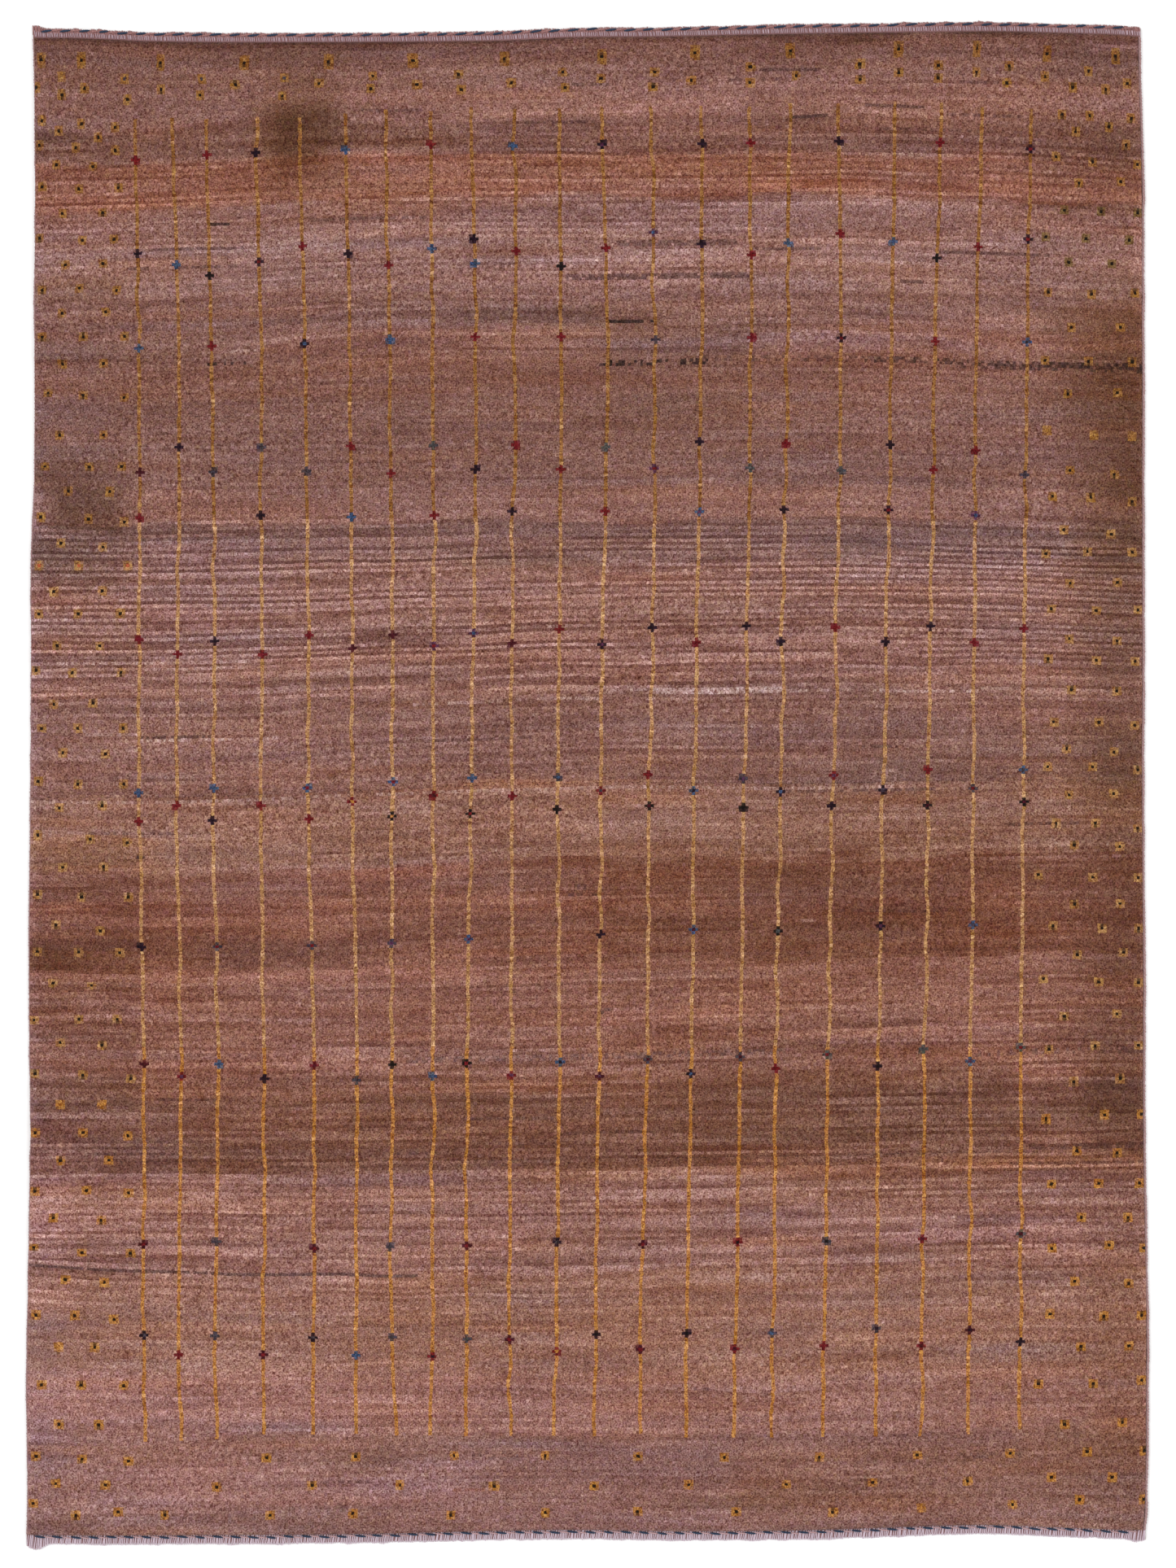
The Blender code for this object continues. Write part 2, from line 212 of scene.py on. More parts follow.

# Shifts of shade from another hank or a stain, and painted light on the pile's rims: from, to, left,
# right, soft edge down, soft edge across, tone, warmth
HANKS_STAINS_AND_RIM_LIGHT = (
    (56, 80, 0, 420, 8, 20, 0.98, 0.02),
    (138, 165, 0, 165, 8, 30, 0.91, 0.00),
    (208, 238, 330, 425, 8, 20, 0.93, 0.00),
    (380, 402, 560, 740, 8, 30, 0.92, 0.00),
    (376, 410, 1270, 1480, 8, 30, 0.90, 0.05),
    (404, 432, 0, 310, 8, 30, 0.93, 0.00),
    (410, 590, 0, 130, 16, 40, 1.00, -0.04),
    (430, 500, 1280, 1480, 10, 40, 0.93, 0.03),
    (664, 690, 185, 320, 6, 20, 1.11, 0.00),
    (684, 704, 560, 740, 6, 30, 0.86, 0.06),
    (664, 700, 1000, 1085, 8, 30, 0.91, 0.00),
    (690, 714, 0, 165, 6, 20, 0.92, 0.00),
    (736, 762, 180, 325, 6, 20, 1.10, 0.00),
    (758, 770, 430, 580, 6, 20, 0.93, 0.00),
    (812, 838, 330, 575, 8, 20, 0.92, 0.00),
    (1022, 1050, 0, 172, 6, 20, 0.91, 0.00),
    (1052, 1074, 435, 575, 6, 20, 1.10, 0.00),
    (1050, 1110, 240, 390, 12, 40, 1.00, -0.05),
    (1096, 1122, 0, 1270, 6, 30, 1.07, 0.00),
    (1172, 1196, 0, 590, 8, 30, 1.10, 0.00),
    (1190, 1340, 340, 480, 20, 60, 1.02, -0.03),
    (1240, 1262, 740, 920, 8, 30, 1.08, 0.00),
    (1286, 1316, 0, 480, 8, 40, 1.08, 0.00),
    (1336, 1384, 1255, 1480, 10, 30, 0.93, 0.00),
    (1358, 1392, 0, 425, 8, 30, 1.08, 0.00),
    (1448, 1484, 900, 1260, 8, 50, 0.93, 0.06),
    (1526, 1550, 180, 320, 8, 20, 1.09, 0.00),
    (1556, 1604, 180, 585, 10, 40, 1.06, 0.00),
    (1676, 1748, 0, 600, 14, 60, 1.06, 0.00),
    (1796, 1846, 180, 575, 10, 40, 1.07, 0.00),
    (1816, 1840, 925, 1075, 8, 20, 0.93, 0.00),
    (88, 140, 0, 330, 8, 40, 0.95, 0.00),
    (90, 132, 740, 1060, 8, 30, 1.03, 0.00),
    (84, 150, 338, 412, 30, 34, 0.86, 0.04),
    (126, 200, 318, 425, 34, 56, 0.76, 0.07),
    (146, 214, 338, 386, 22, 34, 0.84, 0.06),
    (150, 186, 0, 310, 8, 40, 0.94, 0.00),
    (136, 186, 1290, 1480, 8, 40, 0.93, 0.03),
    (186, 260, 1270, 1480, 8, 60, 0.91, 0.02),
    (200, 236, 380, 520, 8, 40, 0.95, 0.00),
    (240, 300, 0, 160, 12, 40, 1.05, 0.00),
    (228, 330, 760, 1260, 8, 30, 1.02, 0.00),
    (318, 348, 660, 830, 8, 60, 1.05, -0.01),
    (340, 424, 0, 240, 8, 20, 1.02, 0.00),
    (404, 436, 0, 240, 8, 20, 0.95, 0.00),
    (382, 400, 560, 860, 8, 60, 0.95, 0.00),
    (402, 438, 340, 660, 8, 60, 1.03, 0.00),
    (390, 438, 960, 1290, 8, 40, 1.07, 0.00),
    (438, 560, 1050, 1310, 20, 40, 1.05, 0.00),
    (500, 540, 400, 470, 12, 30, 1.05, 0.00),
    (330, 424, 1340, 1480, 10, 90, 0.88, 0.05),
    (420, 470, 1320, 1480, 8, 90, 0.80, 0.10),
    (470, 530, 1240, 1340, 20, 60, 0.95, 0.02),
    (466, 600, 1340, 1480, 20, 90, 0.79, 0.13),
    (590, 700, 1330, 1480, 20, 80, 0.78, 0.12),
    (690, 830, 1325, 1480, 20, 80, 0.79, 0.06),
    (830, 896, 1330, 1480, 20, 80, 0.90, 0.04),
    (890, 1020, 1330, 1480, 20, 70, 0.78, 0.11),
    (1020, 1180, 1330, 1480, 20, 80, 0.85, 0.07),
    (1180, 1330, 1325, 1480, 20, 80, 0.86, 0.06),
    (1330, 1436, 1330, 1480, 10, 50, 0.92, 0.02),
    (1437, 1900, 1330, 1480, 20, 80, 0.93, 0.03),
    (540, 600, 0, 160, 10, 24, 0.93, 0.02),
    (560, 598, 0, 130, 8, 40, 0.93, 0.03),
    (598, 648, 62, 150, 8, 30, 0.76, 0.07),
    (655, 700, 0, 130, 6, 60, 0.80, 0.03),
    (790, 812, 0, 170, 6, 30, 0.94, 0.00),
    (672, 698, 540, 920, 6, 60, 0.95, 0.00),
    (646, 684, 1040, 1480, 6, 60, 0.95, -0.03),
    (840, 960, 1040, 1290, 8, 30, 0.97, 0.01),
    (840, 960, 0, 440, 8, 30, 1.03, 0.00),
    (930, 1050, 900, 1290, 14, 80, 0.96, 0.01),
    (1000, 1060, 540, 740, 14, 60, 1.04, 0.00),
    (1040, 1140, 180, 440, 8, 30, 1.05, 0.00),
    (1056, 1182, 740, 1290, 8, 24, 0.93, 0.03),
    (1132, 1160, 800, 1110, 8, 40, 0.94, 0.00),
    (1020, 1320, 700, 1290, 30, 120, 1.00, 0.03),
    (1130, 1240, 0, 250, 10, 60, 0.98, 0.05),
    (1150, 1182, 0, 172, 8, 4, 0.88, 0.02),
    (1150, 1182, 172, 450, 8, 10, 0.94, 0.00),
    (1150, 1182, 540, 740, 8, 20, 1.05, 0.00),
    (1182, 1330, 0, 172, 8, 20, 0.94, 0.00),
    (1182, 1320, 760, 1140, 8, 30, 0.96, 0.00),
    (1320, 1345, 180, 720, 8, 16, 1.04, 0.00),
    (1330, 1436, 0, 130, 8, 30, 1.05, -0.03),
    (1320, 1400, 800, 1240, 12, 80, 0.95, 0.01),
    (1420, 1446, 720, 1200, 6, 60, 0.97, 0.02),
    (1432, 1452, 620, 1480, 6, 60, 0.98, 0.05),
    (1390, 1620, 0, 86, 20, 30, 1.10, 0.00),
    (1440, 1520, 0, 300, 8, 60, 1.04, 0.00),
    (1484, 1520, 0, 172, 8, 12, 1.03, 0.00),
    (1560, 1764, 0, 440, 8, 40, 1.03, -0.03),
    (1670, 1764, 440, 760, 8, 60, 1.02, -0.02),
    (1720, 1770, 640, 760, 16, 60, 1.04, 0.00),
    (1660, 1700, 540, 640, 10, 40, 1.04, 0.00),
    (1700, 1764, 1050, 1290, 8, 30, 0.98, 0.00),
    (1764, 1850, 0, 440, 8, 30, 1.05, 0.00),
    (1800, 1850, 440, 600, 14, 40, 1.08, -0.03),
    (1745, 1775, 1280, 1340, 10, 30, 0.92, 0.00),
    (1780, 1850, 600, 860, 12, 40, 1.04, 0.00),
    (1780, 1850, 1040, 1480, 12, 60, 0.95, 0.00),
    # Painted light: the next eight rows lighten the pile's rolled-off left and right rims.
    (100, 470, 0, 52, 20, 30, 1.02, -0.03),
    (60, 1400, 0, 42, 30, 10, 1.09, -0.03),
    (60, 1400, 1402, 1480, 30, 10, 1.19, -0.02),
    (1400, 1880, 1405, 1480, 30, 6, 1.16, -0.02),
    (100, 500, 1390, 1480, 20, 10, 1.04, 0.00),
    (470, 1000, 0, 52, 20, 30, 1.04, -0.06),
    (1000, 1400, 0, 56, 20, 30, 1.06, -0.07),
    (1400, 1880, 0, 80, 20, 40, 1.01, -0.05),
    (150, 192, 400, 1300, 8, 40, 1.00, -0.04),
    (1428, 1446, 600, 1480, 5, 60, 1.00, 0.05),
    (1366, 1444, 0, 230, 8, 40, 1.03, -0.06),
    (1775, 1868, 250, 900, 10, 60, 1.00, -0.03),
    (56, 100, 1300, 1390, 10, 30, 0.91, 0.00),
    (150, 200, 1340, 1420, 12, 40, 0.91, 0.00),
    (186, 206, 400, 520, 6, 30, 1.07, 0.00),
    (178, 198, 1150, 1250, 6, 30, 1.08, 0.00),
    (252, 285, 560, 1200, 8, 60, 1.00, -0.05),
    (418, 436, 680, 1220, 6, 60, 1.02, -0.06),
    (375, 420, 1320, 1480, 10, 40, 0.95, 0.10),
    (596, 630, 62, 180, 10, 40, 0.94, 0.00),
    (655, 810, 180, 340, 12, 40, 1.00, -0.04),
    (680, 820, 1180, 1290, 12, 40, 1.00, -0.05),
    (850, 882, 1110, 1350, 8, 40, 1.08, 0.02),
    (876, 898, 1160, 1400, 8, 40, 1.09, -0.04),
    (975, 1005, 80, 350, 8, 40, 1.05, 0.00),
    (1012, 1056, 0, 190, 8, 40, 1.00, 0.09),
    (1096, 1124, 900, 1180, 8, 40, 1.00, -0.07),
    (1322, 1364, 1245, 1335, 8, 30, 1.20, -0.03),
    (1384, 1406, 860, 1150, 6, 40, 0.92, 0.05),
    (1456, 1482, 0, 250, 6, 40, 0.97, 0.06),
    (120, 210, 320, 400, 30, 40, 0.95, 0.10),
    (56, 80, 0, 1480, 8, 20, 1.01, -0.04),
    (326, 360, 0, 150, 8, 40, 0.88, 0.07),
    (1146, 1184, 0, 100, 8, 40, 0.84, 0.06),
    (1322, 1368, 0, 170, 8, 30, 0.92, 0.00),
    (200, 224, 540, 1000, 8, 60, 0.95, 0.04),
    (222, 246, 280, 540, 8, 40, 0.91, 0.05),
    (156, 180, 400, 570, 8, 40, 0.91, 0.06),
    (398, 416, 660, 1120, 6, 40, 0.96, 0.05),
    (888, 906, 290, 540, 8, 40, 1.05, -0.05),
    (1484, 1526, 550, 650, 8, 30, 1.09, -0.02),
    (1582, 1602, 1060, 1280, 6, 30, 0.92, 0.04),
    (1536, 1554, 1060, 1280, 8, 30, 0.94, 0.04),
    (1510, 1542, 640, 740, 8, 20, 0.93, 0.04),
    (1832, 1854, 820, 1040, 8, 40, 0.90, 0.03),
    (1782, 1814, 395, 490, 8, 30, 0.91, 0.04),
    (1796, 1870, 100, 240, 12, 40, 1.05, -0.06),
    (44, 64, 1330, 1420, 6, 30, 1.16, -0.05),
    (20, 57, 1040, 1260, 6, 30, 0.86, 0.06),
    (1272, 1298, 1000, 1260, 8, 40, 1.06, -0.05),
    (1210, 1246, 90, 200, 8, 30, 1.11, -0.06),
    (1236, 1292, 730, 810, 8, 30, 1.03, -0.04),
    (1360, 1392, 1330, 1480, 8, 30, 0.88, 0.06),
    (1396, 1430, 1245, 1335, 8, 30, 1.10, 0.00),
    (1490, 1550, 1245, 1335, 8, 30, 1.08, -0.01),
    (1512, 1534, 1070, 1260, 8, 40, 1.10, -0.04),
    (1052, 1084, 300, 580, 8, 30, 1.07, -0.04),
    (340, 372, 570, 900, 10, 40, 1.07, 0.00),
    (1756, 1790, 1250, 1480, 8, 30, 0.95, 0.06),
    (736, 766, 750, 920, 8, 30, 0.93, 0.03),
    (1064, 1096, 920, 1070, 8, 30, 0.92, 0.03),
    (1696, 1790, 1345, 1480, 8, 30, 0.96, 0.04),
    (640, 680, 1320, 1480, 8, 30, 1.01, 0.06),
    (20, 74, 300, 430, 8, 30, 0.91, 0.05),
    (816, 850, 1330, 1480, 8, 30, 0.93, 0.00),
    (946, 978, 1330, 1480, 8, 30, 0.93, 0.01),
    (1190, 1222, 1330, 1480, 8, 30, 0.93, 0.04),
    (1250, 1284, 1330, 1480, 8, 30, 0.93, 0.01),
    (128, 160, 740, 920, 8, 30, 1.07, -0.01),
    (188, 218, 430, 570, 8, 30, 1.06, -0.02),
    (216, 248, 920, 1070, 8, 30, 0.98, 0.05),
    (400, 460, 745, 920, 8, 30, 0.93, -0.01),
    (1852, 1884, 480, 920, 6, 40, 1.07, -0.02),
    (486, 522, 740, 920, 8, 30, 0.95, 0.04),
    (1156, 1186, 930, 1070, 8, 30, 0.94, 0.04),
    (436, 520, 1345, 1480, 10, 30, 0.95, 0.04),
    (130, 160, 930, 1300, 8, 40, 0.99, 0.04),
    (1784, 1854, 900, 1340, 12, 40, 0.99, 0.04),
    (905, 985, 1240, 1335, 10, 30, 0.97, 0.04),
    (1572, 1604, 920, 1330, 8, 40, 1.03, -0.04),
    (1424, 1452, 310, 920, 6, 60, 1.00, -0.05),
)

# Single odd rows: place down, from, to, knots high, wool, strength, share of knots
ODD_ROWS = (
    # The first row darkens the pile all along its top edge, under the top binding.
    (51, 30, 1410, 1, "umber", 0.7, 0.9),
    (87, 931, 1006, 1, "soot", 0.65, 1.0),
    (92, 590, 745, 1, "mauve", 0.4, 0.7),
    (102, 1180, 1225, 1, "soot", 0.35, 0.8),
    (103, 700, 760, 1, "soot", 0.45, 0.5),
    (98, 890, 960, 1, "soot", 0.4, 0.35),
    (112, 260, 330, 1, "soot", 0.35, 0.5),
    (118, 40, 100, 1, "pale", 0.4, 0.7),
    (131, 1058, 1134, 1, "soot", 0.6, 1.0),
    (138, 440, 520, 1, "soot", 0.4, 0.8),
    (141, 1159, 1262, 1, "soot", 0.4, 0.7),
    (144, 971, 1020, 1, "soot", 0.85, 1.0),
    (147, 420, 500, 1, "pale", 0.5, 0.7),
    (151, 640, 730, 1, "soot", 0.45, 0.6),
    (163, 1080, 1290, 1, "soot", 0.35, 0.5),
    (270, 381, 528, 1, "soot", 0.45, 0.9),
    (278, 260, 283, 1, "black", 0.6, 1.0),
    (299, 756, 906, 2, "soot", 0.5, 0.85),
    (305, 177, 296, 1, "soot", 0.45, 0.9),
    (305, 925, 1006, 1, "soot", 0.5, 0.9),
    (311, 1152, 1284, 1, "soot", 0.55, 0.95),
    (331, 147, 305, 1, "soot", 0.5, 0.5),
    (343, 694, 922, 2, "soot", 0.6, 0.9),
    (345, 1109, 1137, 1, "soot", 0.6, 1.0),
    (397, 748, 803, 1, "black", 0.75, 0.85),
    (433, 277, 320, 1, "white", 0.5, 0.9),
    (448, 250, 300, 1, "black", 0.7, 0.4),
    (446, 740, 870, 2, "black", 0.7, 0.42),
    (444, 860, 1405, 2, "soot", 0.45, 0.45),
    (450, 1065, 1405, 2, "black", 0.45, 0.5),
    (456, 1180, 1405, 1, "black", 0.4, 0.5),
    (600, 172, 480, 1, "umber", 0.3, 0.8),
    (646, 40, 170, 1, "umber", 0.4, 0.9),
    (668, 172, 700, 1, "pale", 0.4, 0.7),
    (676, 560, 980, 1, "umber", 0.35, 0.8),
    (693, 172, 620, 1, "pale", 0.40, 0.7),
    (700, 560, 1100, 1, "pale", 0.45, 0.7),
    (699, 60, 170, 1, "pale", 0.4, 0.8),
    (653, 40, 130, 1, "pale", 0.5, 0.9),
    (659, 172, 280, 1, "pale", 0.5, 0.9),
    (708, 40, 900, 1, "umber", 0.5, 0.9),
    (716, 300, 1250, 1, "pale", 0.5, 0.7),
    (724, 60, 700, 1, "umber", 0.4, 0.8),
    (735, 700, 1300, 1, "umber", 0.35, 0.8),
    (744, 172, 640, 1, "pale", 0.5, 0.7),
    (752, 172, 1000, 1, "umber", 0.4, 0.8),
    (759, 40, 1405, 1, "pale", 0.45, 0.7),
    (767, 450, 1300, 1, "umber", 0.35, 0.7),
    (803, 760, 860, 1, "pale", 0.4, 0.8),
    (817, 66, 300, 1, "white", 0.4, 0.8),
    (823, 172, 300, 1, "white", 0.45, 0.8),
    (827, 178, 240, 1, "mauve", 0.5, 0.8),
    (831, 1060, 1190, 1, "umber", 0.35, 0.7),
    (838, 200, 480, 1, "umber", 0.35, 0.8),
    (849, 805, 965, 2, "white", 0.75, 0.95),
    (848, 743, 805, 1, "white", 0.55, 0.9),
    (847, 965, 1200, 1, "white", 0.55, 0.75),
    (849, 1200, 1370, 1, "white", 0.35, 0.6),
    (853, 1200, 1380, 1, "umber", 0.35, 0.8),
    (855, 700, 745, 1, "umber", 0.4, 0.8),
    (861, 506, 738, 1, "white", 0.5, 0.6),
    (866, 30, 172, 1, "pale", 0.45, 0.9),
    (887, 850, 1060, 1, "umber", 0.3, 0.7),
    (893, 500, 640, 1, "umber", 0.45, 0.9),
    (903, 100, 170, 1, "white", 0.4, 0.7),
    (904, 172, 270, 1, "soot", 0.6, 0.75),
    (908, 172, 350, 1, "white", 0.6, 0.6),
    (908, 537, 656, 1, "soot", 0.45, 0.9),
    (911, 700, 960, 1, "pale", 0.4, 0.6),
    (912, 960, 1200, 1, "pale", 0.35, 0.6),
    (917, 1060, 1100, 1, "soot", 0.45, 0.8),
    (946, 590, 800, 2, "mauve", 0.45, 0.7),
    (969, 600, 1100, 1, "white", 0.4, 0.8),
    (972, 960, 1150, 1, "soot", 0.45, 0.7),
    (976, 460, 600, 1, "white", 0.45, 0.8),
    (984, 36, 420, 1, "white", 0.4, 0.75),
    (987, 540, 640, 1, "umber", 0.35, 0.8),
    (1013, 1240, 1330, 1, "soot", 0.5, 0.55),
    (1023, 112, 220, 1, "soot", 0.4, 0.6),
    (1026, 690, 720, 1, "umber", 0.5, 0.8),
    (1045, 260, 560, 1, "pale", 0.3, 0.6),
    (1049, 330, 430, 1, "umber", 0.45, 0.8),
    (1054, 172, 180, 1, "black", 0.5, 1.0),
    (1054, 930, 1400, 1, "pale", 0.35, 0.7),
    (1075, 30, 180, 1, "pale", 0.35, 0.8),
    (1090, 708, 722, 2, "soot", 0.5, 0.7),
    (1099, 700, 735, 1, "soot", 0.5, 0.7),
    (1100, 320, 460, 1, "umber", 0.5, 0.85),
    (1110, 860, 940, 1, "umber", 0.5, 0.6),
    (1115, 560, 660, 1, "umber", 0.4, 0.8),
    (1118, 1030, 1160, 1, "soot", 0.3, 0.7),
    (1130, 980, 1000, 1, "white", 0.35, 0.8),
    (1151, 180, 330, 1, "umber", 0.45, 0.85),
    (1162, 36, 172, 4, "umber", 0.6, 0.97),
    (1175, 172, 1400, 1, "umber", 0.35, 0.7),
    (1197, 720, 790, 1, "umber", 0.45, 0.7),
    (1206, 560, 900, 1, "umber", 0.35, 0.8),
    (1236, 60, 160, 1, "umber", 0.5, 0.8),
    (1240, 600, 860, 1, "umber", 0.35, 0.7),
    (1244, 742, 750, 2, "soot", 0.6, 0.8),
    (1291, 1190, 1405, 2, "slate", 0.25, 0.5),
    (1300, 60, 330, 2, "mauve", 0.45, 0.7),
    (1301, 500, 960, 2, "slate", 0.28, 0.5),
    (1352, 190, 270, 1, "soot", 0.45, 0.6),
    (1330, 720, 850, 1, "pale", 0.3, 0.7),
    (1375, 570, 690, 1, "soot", 0.4, 0.8),
    (1390, 690, 800, 1, "soot", 0.35, 0.8),
    (1406, 40, 240, 1, "tan", 0.5, 0.8),
    (1409, 1260, 1405, 2, "soot", 0.4, 0.85),
    (1417, 480, 530, 1, "soot", 0.5, 0.8),
    (1419, 115, 215, 1, "soot", 0.5, 0.6),
    (1427, 1240, 1405, 1, "soot", 0.4, 0.8),
    (1432, 500, 1160, 1, "umber", 0.4, 0.8),
    (1444, 40, 190, 1, "pale", 0.3, 0.7),
    (1468, 900, 1100, 1, "brown", 0.6, 0.8),
    (1473, 90, 160, 1, "brown", 0.6, 0.9),
    (1536, 1395, 1405, 2, "umber", 0.6, 0.9),
    (1563, 34, 511, 1, "soot", 0.72, 0.98),
    (1598, 200, 430, 1, "brown", 0.4, 0.7),
    (1601, 660, 960, 1, "brown", 0.55, 0.85),
    (1690, 500, 660, 1, "umber", 0.25, 0.5),
    (1711, 200, 1400, 1, "brown", 0.55, 0.8),
    (1708, 850, 870, 1, "soot", 0.4, 0.6),
    (1722, 1230, 1370, 1, "brown", 0.45, 0.8),
    (1768, 180, 1230, 2, "umber", 0.3, 0.6),
    (1789, 560, 640, 3, "soot", 0.3, 0.4),
    (1790, 1170, 1260, 2, "soot", 0.35, 0.5),
    (1822, 400, 450, 1, "soot", 0.35, 0.6),
    (1830, 556, 600, 1, "russet", 0.8, 0.9),
    (1857, 350, 430, 2, "soot", 0.25, 0.5),
)

# How streaky the rows are: place down, amount
STREAKY = (
    (40, 0.035),
    (140, 0.035),
    (190, 0.110),
    (240, 0.110),
    (260, 0.055),
    (420, 0.060),
    (480, 0.035),
    (630, 0.035),
    (650, 0.085),
    (690, 0.140),
    (830, 0.125),
    (870, 0.060),
    (960, 0.060),
    (1050, 0.060),
    (1180, 0.050),
    (1200, 0.060),
    (1330, 0.100),
    (1430, 0.110),
    (1560, 0.095),
    (1620, 0.045),
    (1880, 0.040),
)

# Where light and dark rows take turns: place down, amount
RIBBED = (
    (40, 0.0),
    (184, 0.0),
    (192, 0.06),
    (240, 0.06),
    (250, 0.03),
    (330, 0.02),
    (400, 0.0),
    (640, 0.02),
    (652, 0.08),
    (690, 0.150),
    (760, 0.150),
    (800, 0.10),
    (835, 0.07),
    (850, 0.0),
    (1380, 0.0),
    (1400, 0.04),
    (1560, 0.03),
    (1600, 0.0),
)

# How the rows dip and rise: nominal place, then how far down at each station across
DRIFT_STATIONS = (40, 220, 500, 750, 1000, 1250, 1400)
ROW_DRIFT = (
    (180, (18, 13, -1, -2, -5, 1, 8)),
    (418, (14, 11, -2, -2, -4, 4, 8)),
    (578, (5, 3, 1, -1, -2, 3, 7)),
    (776, (13, 12, 4, -4, -7, -4, 2)),
    (985, (15, 14, 4, -3, -3, -8, -9)),
    (1145, (15, 16, 10, 0, -5, -9, -10)),
    (1306, (3, 4, 3, -3, -10, -16, -18)),
    (1436, (4, 4, 3, 0, -3, -7, -9)),
    (1526, (3, 2, 5, 2, -2, -7, -10)),
    (1560, (-6, 3, 6, 3, -3, -8, -10)),
    (1641, (-2, 1, 3, 0, -3, -7, -9)),
    (1765, (7, 4, -2, -1, 1, -5, -9)),
)

# The lines: where each stands at these places down, and where it begins and ends
LINE_STATIONS = (140, 420, 800, 980, 1310, 1650, 1765)
LINES = (
    (166.6, 171.0, 172.2, 172.5, 176.9, 177.4, 177.8, 147, 1770),
    (212.0, 220.0, 218.4, 217.8, 222.5, 220.3, 222.8, 146, 1769),
    (253.0, 260.0, 263.8, 262.6, 268.0, 264.5, 266.9, 146, 1768),
    (314.0, 321.0, 321.3, 321.6, 324.4, 323.2, 324.4, 143, 1764),
    (367.5, 375.0, 379.4, 379.4, 386.0, 385.0, 385.0, 143, 1764),
    (424.0, 430.0, 433.0, 433.0, 438.8, 437.2, 438.0, 139, 1762),
    (473.0, 479.0, 481.9, 481.0, 481.9, 481.6, 487.8, 136, 1763),
    (529.0, 532.0, 533.0, 531.9, 532.2, 530.8, 528.0, 136, 1762),
    (579.0, 585.0, 581.9, 578.5, 574.0, 572.8, 572.5, 133, 1764),
    (633.0, 633.0, 629.0, 629.0, 628.0, 626.0, 628.4, 133, 1765),
    (687.5, 689.0, 688.0, 685.5, 687.5, 683.0, 680.3, 134, 1765),
    (739.0, 746.0, 740.6, 738.8, 736.0, 731.6, 730.0, 133, 1763),
    (800.0, 804.0, 802.0, 798.0, 795.0, 787.0, 786.9, 132, 1763),
    (862.0, 862.0, 856.0, 853.4, 849.0, 843.6, 843.4, 131, 1765),
    (921.0, 922.5, 918.0, 914.0, 909.0, 903.8, 901.9, 131, 1765),
    (970.0, 967.5, 961.9, 958.8, 952.5, 949.8, 947.8, 129, 1766),
    (1030.0, 1033.0, 1027.5, 1023.6, 1017.0, 1013.0, 1010.6, 127, 1766),
    (1100.0, 1095.0, 1089.0, 1085.3, 1079.0, 1076.6, 1075.6, 127, 1764),
    (1157.0, 1148.0, 1143.0, 1140.2, 1135.6, 1132.2, 1131.6, 127, 1765),
    (1207.0, 1199.0, 1197.0, 1195.6, 1193.0, 1190.3, 1189.0, 131, 1763),
    (1266.6, 1262.0, 1258.0, 1257.0, 1254.7, 1253.2, 1252.5, 134, 1757),
)

# The small crosses on each line: the arms' wool and the place down, then the heart's wool
CROSSES = (
    "R197 N311 B430 W581 R635 R787 B973 R1010 N1162 W1306 W1530R N1640S",
    "B325 N551 R804 R991 R1323P R1663",
    "R192 K341 R427 S581 N787 B970 N1008 S1162R B1308 S1525 S1640",
    "N190 N321R S551 N635 R803 R990R N1326 W1665R",
    "R303 N422B S580 R782 B968R R1005 S1162R R1310W W1532R N1643S",
    "B184 N314 R550 B634 W797 R984Y S1327 B1665",
    "R328 B417 R581 W781 B960R K1001Y S1159P K1307 S1531 S1644",
    "R178 B307 T548 R632 P795R R979W B1322 R1666N",
    "N294 B324 R414 N577 P777B B956 K998R B1155P K1305R W1531R S1644T",
    "B180 R308 R548 N628 W790 R977 R1322P W1644R",
    "K326 R415 R577 R773 S955B K993 B1305N N1528S R1661Y",
    "N178P R304 T548 R629 N794P R973S N1147 W1321P N1640K",
    "P285B S417 P577R N772 R951 K992W S1302W W1528R W1658R",
    "N178 N299 N545 B628P R790 B973N B1143W N1318B N1640K",
    "R177 R314 R414 T574 N768 S955P K991 S1297W R1527K R1657W",
    "B298 R547 N625 N790 N973B K1142T R1314 S1638B",
    "N175 R286 N415R T577 R771 R952P N989 T1296R S1524K R1654",
    "B298 N547 N628R N788 N970S N1139P N1309K S1632N",
    "R176 K318 R420 R579 N768 R947 K988W T1288S R1521W R1652W",
    "R304 R553 P632B R789 S969R B1137S B1305P W1633N",
    "N183R N296R B422S S583 R773 B947S K987W T1287R T1517W N1650",
)

